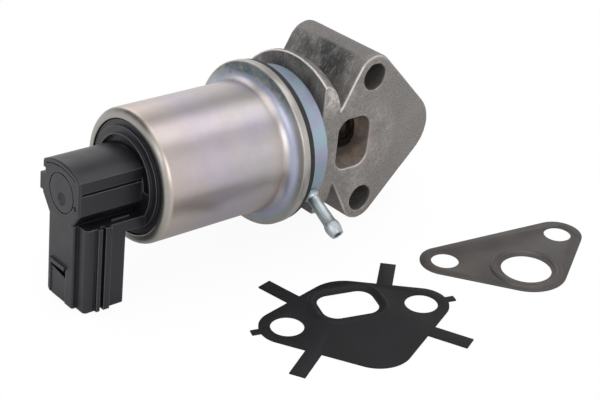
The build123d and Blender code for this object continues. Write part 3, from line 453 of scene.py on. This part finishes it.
def cast_aluminium(colours):
    """Gravity-cast aluminium, as cast: a dull grey metal with a fine sandy skin, dark handling stains and
    faint scratches on the flank behind the collar, brown bloom in and under the port, lightened inside the
    port as painted light, pale edges that are partly wear where it was knocked and handled and partly painted
    highlight, a smudged bright patch on the collar that is partly ground metal and partly a painted
    highlight, and painted shade on the top behind the front face and in the bolt holes."""
    material, tree, shader, where = new_finish("cast_aluminium")
    split = add(tree, "SeparateXYZ", (where,)).outputs
    drifted = drifted_by(tree, where, 6, 4.5)
    patch = add(tree, "TexNoise", {"Vector": where, "Scale": per(10), "Detail": 6.0, "Roughness": 0.6})
    base = add(tree, "ValToRGB", (patch,), stops=[
        (0.30, paint("#827e7b")), (0.72, paint("#8b8784")), (0.50, colours.cast_grey)])
    sand = add(tree, "TexNoise", {"Vector": where, "Scale": per(0.5), "Detail": 2.0, "Roughness": 0.7})
    speck = add(tree, "MapRange", (sand, 0.3, 0.7, 0.66, 1.34))
    colour = add(tree, "Mix", (1.0, base, speck), data_type="RGBA", blend_type="MULTIPLY")
    behind = add(tree, "MapRange", (split["Y"], 0.5 * MM, 3 * MM))
    colour = cast_stains_and_painted_light(tree, split["Z"], behind, patch, drifted, colours, colour)
    colour = cast_scratches_and_hole_shade(tree, where, split["X"], behind, colours, colour)
    edge = cast_wear_and_edge_highlight(tree, where, split, patch)
    colour = add(tree, "Mix", (edge, colour, colours.cast_bare_and_highlight), data_type="RGBA")

    # A painted highlight, partly ground metal, lies on the front face only, on the collar's upper half, where
    # the facet faces the light more
    front_face = add(tree, "MapRange", (split["Y"], 0.15 * MM, 0.35 * MM, 1.0, 0.0))
    ground = near_place(tree, drifted, (-15, 0, 18), 3.0, 7.5, 0.9)
    ground = add(tree, "Math", (front_face, ground), operation="MULTIPLY")
    smudge = add(tree, "TexNoise", {"Vector": where, "Scale": per(2), "Detail": 5.0, "Roughness": 0.7})
    smudge = add(tree, "MapRange", (smudge, 0.42, 0.56, 0.25, 1.0))
    ground = add(tree, "Math", (ground, smudge), operation="MULTIPLY")
    colour = add(tree, "Mix", (ground, colour, colours.cast_bare_and_highlight), data_type="RGBA")
    bare = add(tree, "Math", (ground, edge), operation="MAXIMUM")
    rough = add(tree, "MapRange", (bare, 0.0, 1.0, 0.58, 0.38))
    bump = add(tree, "Bump", {"Height": sand, "Strength": 0.3, "Distance": 0.2 * MM})
    join_named(tree, shader, {"Base Color": colour, "Metallic": 0.45, "Roughness": rough, "Normal": bump})
    return material


def moulded_plastic(name, colour, scuff, roughness):
    """Glass-filled nylon, moulded against a spark-eroded tool: a fine even grain that spreads the
    highlights, slightly glossier patches where it was handled, and a painted highlight along outside edges."""
    material, tree, shader, where = new_finish(name)
    grain = add(tree, "TexNoise", {"Vector": where, "Scale": per(0.28), "Detail": 2.0})
    patch = add(tree, "TexNoise", {"Vector": where, "Scale": per(7), "Detail": 3.0})
    tint = add(tree, "ValToRGB", (patch,), stops=[(0.3, times(colour, 0.8)), (0.75, times(colour, 1.3))])
    rough = add(tree, "MapRange", (patch, 0.3, 0.7, roughness - 0.06, roughness + 0.06))
    # Painted highlight: outside edges are lightened towards the given edge colour
    soft, edge = edge_highlight_factor(tree, 0.35 * MM, 3.0)
    tint = add(tree, "Mix", (edge, tint, scuff), data_type="RGBA")
    bump = add(tree, "Bump", {"Height": grain, "Strength": 0.25, "Distance": 0.08 * MM, "Normal": soft})
    join_named(tree, shader, {"Base Color": tint, "Roughness": rough, "IOR": 1.53, "Normal": bump})
    return material


def seal_rubber(colours):
    """Moulded nitrile rubber: black, dull, with a faint bloom."""
    material, tree, shader, where = new_finish("nitrile_rubber")
    patch = add(tree, "TexNoise", {"Vector": where, "Scale": per(3), "Detail": 3.0})
    tint = add(tree, "ValToRGB", (patch,), stops=[(0.3, colours.rubber), (0.8, colours.rubber_bloom)])
    bump = add(tree, "Bump", {"Height": patch, "Strength": 0.2, "Distance": 0.1 * MM})
    join_named(tree, shader, {"Base Color": tint, "Roughness": 0.62, "IOR": 1.5, "Normal": bump})
    return material


def coated_sheet(colours):
    """Steel sheet with a sprayed elastomer coating: matt black, a faint orange peel, and scuffs."""
    material, tree, shader, where = new_finish("elastomer_coated_steel")
    peel = add(tree, "TexNoise", {"Vector": where, "Scale": per(0.8), "Detail": 2.0})
    scuff = add(tree, "TexNoise", {"Vector": where, "Scale": per(12), "Detail": 4.0})
    tint = add(tree, "ValToRGB", (scuff,), stops=[(0.35, colours.coating), (0.75, colours.coating_scuff)])
    rough = add(tree, "MapRange", (scuff, 0.3, 0.7, 0.50, 0.62))
    soft = add(tree, "Bevel", (0.12 * MM,), samples=4)
    bump = add(tree, "Bump", {"Height": peel, "Strength": 0.12, "Distance": 0.1 * MM, "Normal": soft})
    join_named(tree, shader, {"Base Color": tint, "Roughness": rough, "IOR": 1.5,
                              "Specular IOR Level": 0.25, "Normal": bump})
    return material


def rolled_sheet(colours):
    """Cold-rolled spring steel, heat-darkened: warm grey with fine rolling lines and cloudy tarnish."""
    material, tree, shader, where = new_finish("rolled_spring_steel")
    along = add(tree, "Mapping", {"Vector": where, "Scale": (0.05, 1, 1)})
    lines = add(tree, "TexNoise", {"Vector": along, "Scale": per(0.6), "Detail": 3.0})
    cloud = add(tree, "TexNoise", {"Vector": where, "Scale": per(9), "Detail": 4.0})
    tint = add(tree, "ValToRGB", (cloud,), stops=[
        (0.3, paint("#524e4c")), (0.75, paint("#5f5b58")), (0.5, colours.sheet_steel)])
    rough = add(tree, "MapRange", (lines, 0.0, 1.0, 0.36, 0.50))
    soft = add(tree, "Bevel", (0.12 * MM,), samples=4)
    bump = add(tree, "Bump", {"Height": lines, "Strength": 0.08, "Distance": 0.1 * MM, "Normal": soft})
    join_named(tree, shader, {"Base Color": tint, "Metallic": 0.8, "Roughness": rough, "Normal": bump})
    return material


def turned_metal(name, light, dark, roughness):
    """Bar stock turned on a lathe: rings of fine tool marks round the solenoid's axis."""
    material, tree, shader, where = new_finish(name)
    lathe = add(tree, "Mapping", {"Vector": where, "Scale": (1, 0.03, 0.03)})
    marks = add(tree, "TexNoise", {"Vector": lathe, "Scale": per(0.5), "Detail": 3.0})
    tint = add(tree, "ValToRGB", (marks,), stops=[(0.3, paint(dark)), (0.7, paint(light))])
    bump = add(tree, "Bump", {"Height": marks, "Strength": 0.1, "Distance": 0.1 * MM})
    join_named(tree, shader, {"Base Color": tint, "Metallic": 1.0, "Roughness": roughness, "Normal": bump})
    return material


def enamelled_wire():
    """Enamelled copper wire, wound in layers: the turns show as fine rings, drawn coarser than the wire."""
    material, tree, shader, where = new_finish("enamelled_copper_wire")
    turns = add(tree, "TexWave", {"Vector": where, "Scale": per(4.2), "Distortion": 0.3},
                bands_direction="X").outputs["Fac"]
    tint = add(tree, "ValToRGB", (turns,), stops=[(0.1, paint("#5a2c18")), (0.9, paint("#b0623a"))])
    bump = add(tree, "Bump", {"Height": turns, "Strength": 0.4, "Distance": 0.2 * MM})
    join_named(tree, shader, {"Base Color": tint, "Metallic": 0.9, "Roughness": 0.3, "Normal": bump})
    return material


def deselect_all():
    """Leaves no object selected or in edit mode."""
    if bpy.context.object and bpy.context.object.mode != "OBJECT":
        bpy.ops.object.mode_set(mode="OBJECT")
    bpy.ops.object.select_all(action="DESELECT")


def pick(piece):
    """Makes a piece the only one selected, and active."""
    deselect_all()
    piece.select_set(True)
    bpy.context.view_layer.objects.active = piece


def edit_all(piece):
    """Opens a piece in edit mode with all of it selected."""
    pick(piece)
    bpy.ops.object.mode_set(mode="EDIT")
    bpy.ops.mesh.select_all(action="SELECT")


def new_plane(name, **settings):
    """A plane to start a piece from, open in edit mode."""
    deselect_all()
    bpy.ops.mesh.primitive_plane_add(**settings)
    piece = bpy.context.object
    piece.name = name
    edit_all(piece)
    return piece


def modify(piece, kind, **settings):
    """Adds a modifier with its settings and applies it."""
    pick(piece)
    made = piece.modifiers.new(kind.lower(), kind)
    for name, value in settings.items():
        setattr(made, name, value)
    bpy.ops.object.modifier_apply(modifier=made.name)


def round_edges(piece, width, segments, turn=30, **settings):
    """Rounds the edges that turn by more than so many degrees."""
    modify(piece, "BEVEL", width=width, segments=segments, limit_method="ANGLE",
           angle_limit=math.radians(turn), **settings)


def smooth(piece, turn):
    """Shades a piece smooth except where it turns by more than so many degrees."""
    pick(piece)
    bpy.ops.object.shade_smooth_by_angle(angle=math.radians(turn))


def dress(piece, material, body="root", stands_for=()):
    """Gives a finished piece its finish and its body, and hides the nodes that it stands for."""
    piece.data.materials.clear()
    piece.data.materials.append(material)
    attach(piece, body)
    if stands_for:
        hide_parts(*stands_for)


def refinish(material, *nodes):
    """Puts a material in the slots of CAD nodes whose shape stays."""
    for name in nodes:
        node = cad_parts[name]
        node.data.materials.clear()
        node.data.materials.append(material)


def arc(centre, radius, start, end, parts):
    """Points of a round bend in a profile, as (station, radius), with its angles in degrees."""
    angles = [math.radians(start + (end - start) * i / parts) for i in range(parts + 1)]
    return [(centre[0] + radius * math.cos(a), centre[1] + radius * math.sin(a)) for a in angles]


def turned_piece(name, profile, centre=AXIS, axis=ALONG_X, out=UP, steps=ROUND_STEPS, edge_break=0.0,
                 turn=32):
    """A closed profile of (station, radius) points, spun about an axis, with its edges rounded."""
    piece = new_plane(name, size=MM)
    bpy.ops.mesh.merge(type="CENTER")
    places = [centre + axis * station + out * radius for station, radius in profile]
    bpy.ops.transform.translate(value=places[0])
    for start, end in zip(places, places[1:] + places[:1]):
        bpy.ops.mesh.extrude_region_move(TRANSFORM_OT_translate={"value": end - start})
    bpy.ops.mesh.select_all(action="SELECT")
    bpy.ops.mesh.remove_doubles(threshold=WELD / 2)
    bpy.ops.mesh.select_all(action="SELECT")
    bpy.ops.mesh.spin(steps=steps, angle=2 * math.pi, center=centre, axis=axis)
    bpy.ops.mesh.select_all(action="SELECT")
    bpy.ops.mesh.remove_doubles(threshold=WELD)
    bpy.ops.mesh.normals_make_consistent(inside=False)
    bpy.ops.object.mode_set(mode="OBJECT")
    if edge_break:
        round_edges(piece, edge_break, 3)
    smooth(piece, turn)
    return piece


def node_copy(name, node):
    """A merged copy of a CAD node's mesh, to shape further; the node itself stays as it is."""
    piece = bpy.data.objects.new(name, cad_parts[node].data.copy())
    bpy.context.scene.collection.objects.link(piece)
    edit_all(piece)
    bpy.ops.mesh.remove_doubles(threshold=WELD)
    bpy.ops.object.mode_set(mode="OBJECT")
    return piece


class VALVE_OT_casting(bpy.types.Operator):
    """Models the cast body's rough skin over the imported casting"""
    bl_idname = "valve.casting"
    bl_label = "Cast body"

    def execute(self, context):
        sizes = context.scene.valve_sizes
        piece = node_copy("casting", "valve_body")
        modify(piece, "REMESH", mode="VOXEL", voxel_size=sizes.cast_voxel, use_smooth_shade=True)
        modify(piece, "SMOOTH", factor=0.5, iterations=3)
        # Each layer of the skin has lumps so many millimetres wide. The high mid level presses it inwards,
        # so that the casting stays inside its box
        for name, width, depth in (("ripple", 5.0, sizes.cast_ripple), ("pits", 1.1, sizes.cast_pit)):
            texture = bpy.data.textures.new("cast_" + name, "CLOUDS")
            texture.noise_scale = width * MM
            texture.noise_depth = 2
            modify(piece, "DISPLACE", texture=texture, strength=depth, mid_level=0.9,
                   texture_coords="LOCAL")
        pick(piece)
        bpy.ops.object.shade_smooth()
        dress(piece, cast_aluminium(context.scene.valve_colours), stands_for=("valve_body",))
        return {"FINISHED"}


class VALVE_OT_can(bpy.types.Operator):
    """Spins the can with its rolled rim, hollow flare and turned-in lip"""
    bl_idname = "valve.can"
    bl_label = "Solenoid can"

    def execute(self, context):
        sizes = context.scene.valve_sizes
        barrel = sizes.can_radius
        inside = barrel - sizes.can_wall
        rim_x = can_high.x - sizes.rim_width
        rim_r = (can_high.z - can_low.z) / 2
        curl = sizes.rim_edge
        flare = sizes.can_flare
        shoulder = sizes.can_shoulder
        profile = [(can_low.x + sizes.can_wall, inside), (can_low.x + sizes.can_wall, sizes.can_lip),
                   (can_low.x, sizes.can_lip)]
        profile += arc((can_low.x + shoulder, barrel - shoulder), shoulder, 180, 90, 8)
        profile += arc((rim_x - flare, barrel + flare), flare, -90, 0, 12)
        profile += arc((rim_x + curl, rim_r - curl), curl, 180, 90, 4)
        profile += [(can_high.x, rim_r), (can_high.x, inside)]
        piece = turned_piece("can_shell", profile, edge_break=sizes.edge_break)
        dress(piece, satin_zinc(context.scene.valve_colours), stands_for=("solenoid_can",))
        return {"FINISHED"}


class VALVE_OT_base_ring(bpy.types.Operator):
    """Spins the base ring, and the rubber ring under the can's rim"""
    bl_idname = "valve.base_ring"
    bl_label = "Base ring and seal"

    def execute(self, context):
        self.add_ring(context.scene.valve_sizes, context.scene.valve_colours)
        self.add_seal(context.scene.valve_sizes, context.scene.valve_colours)
        return {"FINISHED"}

    @staticmethod
    def add_ring(sizes, colours):
        """The ring's spigot in the can, its flange, the band that carries the nipple, and its neck."""
        collar_x = ring_high.x
        band_end = collar_x - sizes.neck_length
        band_start = band_end - sizes.band_length
        flange_x = band_start - sizes.flange_thickness
        flange_r = (ring_high.z - ring_low.z) / 2
        spigot_r = sizes.can_radius - sizes.can_wall - FIT
        profile = [(ring_low.x, sizes.stem_passage), (ring_low.x, spigot_r), (flange_x, spigot_r),
                   (flange_x, flange_r), (band_start, flange_r), (band_start, sizes.band_radius),
                   (band_end, sizes.band_radius), (band_end, sizes.neck_radius),
                   (collar_x, sizes.neck_radius), (collar_x, sizes.stem_passage)]
        ring = turned_piece("zinc_ring", profile, edge_break=sizes.edge_break)
        dress(ring, blue_zinc("blue_zinc_plated_steel", colours.ring_blue, colours.ring_lilac, 0.52),
              stands_for=("base_ring",))

    @staticmethod
    def add_seal(sizes, colours):
        """The squeezed rubber ring, with its finish on the two seals inside as well."""
        seal_r = (seal_high.z - seal_low.z) / 2 + sizes.seal_bulge
        seal_in = sizes.can_radius - sizes.can_wall + FIT
        profile = [(seal_low.x, seal_in), (seal_low.x, seal_r), (seal_high.x, seal_r), (seal_high.x, seal_in)]
        seal = turned_piece("rim_ring", profile)
        round_edges(seal, sizes.seal_round, 4)
        smooth(seal, 40)
        rubber = seal_rubber(colours)
        dress(seal, rubber, stands_for=("rim_seal",))
        refinish(rubber, "stem_seal", "cap_oring")


class VALVE_OT_nipple(bpy.types.Operator):
    """Turns the drilled vent nipple with its root collar and hose bulb"""
    bl_idname = "valve.nipple"
    bl_label = "Vent nipple"

    def execute(self, context):
        sizes = context.scene.valve_sizes
        colours = context.scene.valve_colours
        bore, tube, fillet = sizes.nipple_bore, sizes.nipple_tube, sizes.nipple_fillet
        root = sizes.band_radius
        sunk = root - sizes.nipple_socket
        collar_end = root + sizes.nipple_collar_length
        tip = root + sizes.nipple_reach
        profile = [(sunk, bore), (sunk, tube), (root, tube), (root, sizes.nipple_collar),
                   (collar_end, sizes.nipple_collar)]
        profile += arc((collar_end + fillet, tube + fillet), fillet, 210, 270, 5)
        profile += self.bulb_profile(sizes, tip - sizes.nipple_bulb_length)
        profile += [(tip, bore)]
        band_x = ring_high.x - sizes.neck_length - sizes.band_length / 2
        outward = Vector((0, -math.sin(NIPPLE_ANGLE), -math.cos(NIPPLE_ANGLE)))
        piece = turned_piece("hose_nipple", profile, Vector((band_x, AXIS_Y, 0)), outward, ALONG_X,
                             steps=64, turn=50)
        dress(piece, blue_zinc("bright_zinc_plated_steel", colours.nipple_zinc, colours.nipple_grey, 0.42),
              stands_for=("vent_nipple",))
        return {"FINISHED"}

    @staticmethod
    def bulb_profile(sizes, start):
        """The hose bulb: most of half a sine wave, skewed so that it is thickest nearer to its root."""
        first, span, skew = 0.04, 0.92, 0.8
        swell = sizes.nipple_bulb - sizes.nipple_tube
        shares = [part / BULB_PARTS for part in range(BULB_PARTS + 1)]
        return [(start + sizes.nipple_bulb_length * share,
                 sizes.nipple_tube + swell * math.sin(math.pi * (first + span * share) ** skew))
                for share in shares]


class VALVE_OT_cap(bpy.types.Operator):
    """Finishes the moulded cap, and adds the small rib on the plug shroud's shelf"""
    bl_idname = "valve.cap"
    bl_label = "Connector cap"

    def execute(self, context):
        sizes = context.scene.valve_sizes
        colours = context.scene.valve_colours
        nylon = moulded_plastic("glass_filled_nylon", colours.plastic, colours.plastic_edge_highlight, 0.42)
        refinish(nylon, "connector_cap")
        taper_x, taper_y = 0.94, 0.7
        rib = new_plane("shelf_rib", size=1, location=(RIB_X, RIB_Y, SHELF_Z - FIT))
        bpy.ops.transform.resize(value=(sizes.rib_length, sizes.rib_width, 1))
        bpy.ops.mesh.extrude_region_move(TRANSFORM_OT_translate={"value": (0, 0, FIT + sizes.rib_height)})
        bpy.ops.transform.resize(value=(taper_x, taper_y, 1))
        bpy.ops.mesh.select_all(action="SELECT")
        bpy.ops.mesh.normals_make_consistent(inside=False)
        bpy.ops.object.mode_set(mode="OBJECT")
        bpy.ops.object.transform_apply(location=True, rotation=True, scale=True)
        round_edges(rib, sizes.rib_round, 2)
        dress(rib, nylon)
        return {"FINISHED"}


class VALVE_OT_gaskets(bpy.types.Operator):
    """Rounds the pressed edges of the two loose gaskets, and domes their beads"""
    bl_idname = "valve.gaskets"
    bl_label = "Gaskets"

    def execute(self, context):
        sizes = context.scene.valve_sizes
        colours = context.scene.valve_colours
        sheets = (
            ("coated_flange_gasket", "coated_gasket", coated_sheet(colours), "coated_sheet", COATED_BEAD),
            ("bare_flange_gasket", "steel_gasket", rolled_sheet(colours), "gasket_steel", STEEL_BEAD),
        )
        for name, node, finish, slot, bead in sheets:
            sheet = node_copy(name, node)
            self.soften(sheet, sizes.sheet_edge)
            ridge = self.domed_bead(sizes, **bead)
            pick(sheet)
            ridge.select_set(True)
            bpy.ops.object.join()
            smooth(sheet, SHARP_TURN)
            dress(sheet, finish, stands_for=(node,))
        return {"FINISHED"}

    @staticmethod
    def soften(sheet, width):
        """Joins a merged copy's flat faces and rounds its sharp edges."""
        edit_all(sheet)
        bpy.ops.mesh.dissolve_limited(angle_limit=math.radians(0.5))
        bpy.ops.object.mode_set(mode="OBJECT")
        round_edges(sheet, width, 2, SHARP_TURN, use_clamp_overlap=False)
        smooth(sheet, SHARP_TURN)

    def domed_bead(self, sizes, place, turn, port_y, port, corner):
        """A low dome swept round a port, where the sheet's bead is."""
        ridge = new_plane("bead", size=MM)
        bpy.ops.transform.resize(value=(*port, 1))
        # A hair less than the full radius, so that the corners of a round port do not meet
        bpy.ops.mesh.bevel(offset=corner * 0.999 * MM, segments=10, affect="VERTICES")
        bpy.ops.mesh.select_all(action="SELECT")
        bpy.ops.mesh.delete(type="ONLY_FACE")
        bpy.ops.object.mode_set(mode="OBJECT")
        bpy.ops.object.convert(target="CURVE")
        section = self.dome_section(sizes.bead_width / 2, sizes.bead_height)
        pick(ridge)
        ridge.data.bevel_mode = "OBJECT"
        ridge.data.bevel_object = section
        ridge.data.dimensions = "2D"
        ridge.data.fill_mode = "NONE"
        bpy.ops.object.convert(target="MESH")
        bpy.data.objects.remove(section)
        turned = Quaternion(REST_UP, math.radians(turn))
        start = REST_UP * (REST_HEIGHT + sizes.sheet_thickness)
        start += REST_ALONG * place[0] * MM + Vector((0, place[1] * MM, 0))
        start += turned @ Vector((0, port_y * MM, 0))
        ridge.location = start
        ridge.rotation_mode = "QUATERNION"
        ridge.rotation_quaternion = turned @ Quaternion((0, 1, 0), -REST_SLOPE)
        bpy.ops.object.transform_apply(location=True, rotation=True, scale=True)
        return ridge

    @staticmethod
    def dome_section(half, height):
        """The bead's section, a flat parabola."""
        bpy.ops.curve.primitive_nurbs_path_add()
        section = bpy.context.object
        section.data.splines.clear()
        shape = section.data.splines.new("POLY")
        steps = 12
        shape.points.add(steps)
        for number, point in enumerate(shape.points):
            share = 2 * number / steps - 1
            point.co = (half * share, height * (1 - share * share), 0, 1)
        return section


class VALVE_OT_works(bpy.types.Operator):
    """Finishes the pieces inside, and copies the two springs, each with a mesh of its own"""
    bl_idname = "valve.works"
    bl_label = "Inner works"

    def execute(self, context):
        # The colour of the painted highlight on the moulded pieces' outside edges
        scuff = context.scene.valve_colours.plastic_edge_highlight
        steel = turned_metal("stainless_steel", "#a9a5a0", "#7e7a76", 0.30)
        refinish(steel, "pintle", "valve_seat", "deflector", "armature_sleeve")
        self.add_springs(steel)
        refinish(turned_metal("sintered_bronze", "#a5855a", "#7b603d", 0.42), "guide_bush")
        refinish(turned_metal("soft_iron", "#828283", "#636365", 0.40), "armature", "pole_piece",
                 "flux_washer")
        refinish(turned_metal("phosphated_steel", "#55555a", "#3b3b3e", 0.50), "base_screws")
        refinish(turned_metal("tinned_brass", "#c4bfae", "#a29c8a", 0.30), "connector_pins", "sensor_wiper")
        refinish(enamelled_wire(), "coil_winding")
        refinish(moulded_plastic("bobbin_nylon", paint("#26231f"), scuff, 0.50), "coil_bobbin",
                 "sensor_carriage")
        refinish(moulded_plastic("printed_board", paint("#1f3a28"), scuff, 0.35), "sensor_track")
        return {"FINISHED"}

    @staticmethod
    def add_springs(steel):
        """Copies of the two springs, each with a mesh of its own."""
        for node, joint in (("return_spring", "valve_lift"), ("sensor_spring", "sensor_slide")):
            spring = node_copy(node + "_wire", node)
            smooth(spring, SHARP_TURN)
            dress(spring, steel, stands_for=(node,))
            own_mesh(spring)


def seen_rays(tree):
    """A factor for camera rays, and one for all rays that should see the white background."""
    path = add(tree, "LightPath").outputs
    seen = add(tree, "Math", (path["Is Camera Ray"], path["Is Glossy Ray"]), operation="MAXIMUM")
    seen = add(tree, "Math", (seen, path["Is Transmission Ray"]), operation="MAXIMUM")
    return path["Is Camera Ray"], seen


def white_floor():
    """Plain white paper: the camera and the metal see it white, with a soft shadow under the object."""
    material, tree, shader, _ = new_finish("white_paper")
    camera, seen = seen_rays(tree)
    near = add(tree, "AmbientOcclusion", {"Distance": 90 * MM}, samples=8).outputs["AO"]
    shown = add(tree, "MapRange", (near, 0.2, 0.8, 0.95, 1.0))
    mirrored = add(tree, "MapRange", (near, 0.4, 1.0, 0.42, 1.0))
    level = add(tree, "Mix", (camera, mirrored, shown))
    glow = add(tree, "Emission", (grey(1.0), level))
    matt = add(tree, "BsdfDiffuse", (grey(0.5),))
    both = add(tree, "MixShader", (seen, matt, glow))
    tree.nodes.remove(shader)
    join_named(tree, tree.nodes["Material Output"], {"Surface": both})
    return material


class VALVE_OT_stage(bpy.types.Operator):
    """Sets up the floor, the studio light and the camera at the photograph's angle"""
    bl_idname = "valve.stage"
    bl_label = "Stage"

    def execute(self, context):
        scene = context.scene
        deselect_all()
        bpy.ops.mesh.primitive_plane_add(size=FLOOR_SIZE, location=REST_UP * REST_HEIGHT,
                                         rotation=(0, -REST_SLOPE, 0))
        floor = bpy.context.object
        floor.name = "floor"
        floor.data.materials.append(white_floor())
        self.set_world(scene)
        self.add_lamps(scene)
        self.add_camera(scene)
        scene.view_settings.view_transform = "Standard"
        return {"FINISHED"}

    @staticmethod
    def set_world(scene):
        """A white backdrop that greys towards the top, where only the camera and the metal see it."""
        world = bpy.data.worlds.new("studio")
        world.use_nodes = True
        scene.world = world
        tree = world.node_tree
        where = add(tree, "TexCoord").outputs["Generated"]
        height = add(tree, "SeparateXYZ", (where,)).outputs["Z"]
        backdrop = add(tree, "ValToRGB", (height,), stops=[
            (0.22, grey(1.0)), (0.75, grey(0.42)), (0.48, grey(0.62))])
        _, seen = seen_rays(tree)
        colour = add(tree, "Mix", (seen, AMBIENT, backdrop), data_type="RGBA")
        join_named(tree, tree.nodes["Background"], {"Color": colour})

    @staticmethod
    def add_lamps(scene):
        """The overhead strip that draws the can's long highlight, and four softboxes round the valve."""
        for name, place, aim_x, length, width, watts in LAMPS:
            data = bpy.data.lights.new(name, "AREA")
            data.shape = "RECTANGLE"
            data.size = length
            data.size_y = width
            data.energy = watts
            lamp = bpy.data.objects.new(name, data)
            lamp.location = place
            aim = Vector((aim_x, 0, 0)) - lamp.location
            lamp.rotation_euler = aim.to_track_quat("-Z", "Y").to_euler()
            scene.collection.objects.link(lamp)

    @staticmethod
    def add_camera(scene):
        """The camera at the photograph's place, with its focal length and roll."""
        data = bpy.data.cameras.new("photo_camera")
        data.sensor_width = SENSOR_WIDTH
        data.lens = SENSOR_WIDTH * FOCAL_PIXELS / PHOTO_WIDTH
        camera = bpy.data.objects.new("photo_camera", data)
        camera.location = CAMERA_PLACE
        camera.rotation_mode = "QUATERNION"
        level = (CAMERA_AIM - CAMERA_PLACE).to_track_quat("-Z", "Y")
        camera.rotation_quaternion = level @ Quaternion((0, 0, 1), CAMERA_ROLL)
        scene.collection.objects.link(camera)
        scene.camera = camera


STEPS = (VALVE_OT_stage, VALVE_OT_casting, VALVE_OT_can, VALVE_OT_base_ring, VALVE_OT_nipple, VALVE_OT_cap,
         VALVE_OT_gaskets, VALVE_OT_works)


class VALVE_PT_panel(bpy.types.Panel):
    """Lists the valve's operators, sizes and colours"""
    bl_idname = "VALVE_PT_panel"
    bl_label = "Valve"
    bl_space_type = "VIEW_3D"
    bl_region_type = "UI"
    bl_category = "Valve"

    def draw(self, context):
        for step in STEPS:
            self.layout.operator(step.bl_idname)
        for group in (context.scene.valve_sizes, context.scene.valve_colours):
            for name in group.__annotations__:
                self.layout.prop(group, name)


CLASSES = (ValveSizes, ValveColours, *STEPS, VALVE_PT_panel)


def register():
    """Registers the classes, and gives each scene its sizes and colours."""
    for each in CLASSES:
        bpy.utils.register_class(each)
    bpy.types.Scene.valve_sizes = PointerProperty(type=ValveSizes)
    bpy.types.Scene.valve_colours = PointerProperty(type=ValveColours)


def unregister():
    """Takes back what register did."""
    del bpy.types.Scene.valve_colours
    del bpy.types.Scene.valve_sizes
    for each in reversed(CLASSES):
        bpy.utils.unregister_class(each)


def main():
    """Makes every piece and the stage."""
    register()
    bpy.ops.valve.stage()
    bpy.ops.valve.casting()
    bpy.ops.valve.can()
    bpy.ops.valve.base_ring()
    bpy.ops.valve.nipple()
    bpy.ops.valve.cap()
    bpy.ops.valve.gaskets()
    bpy.ops.valve.works()


if __name__ == "__main__":
    main()
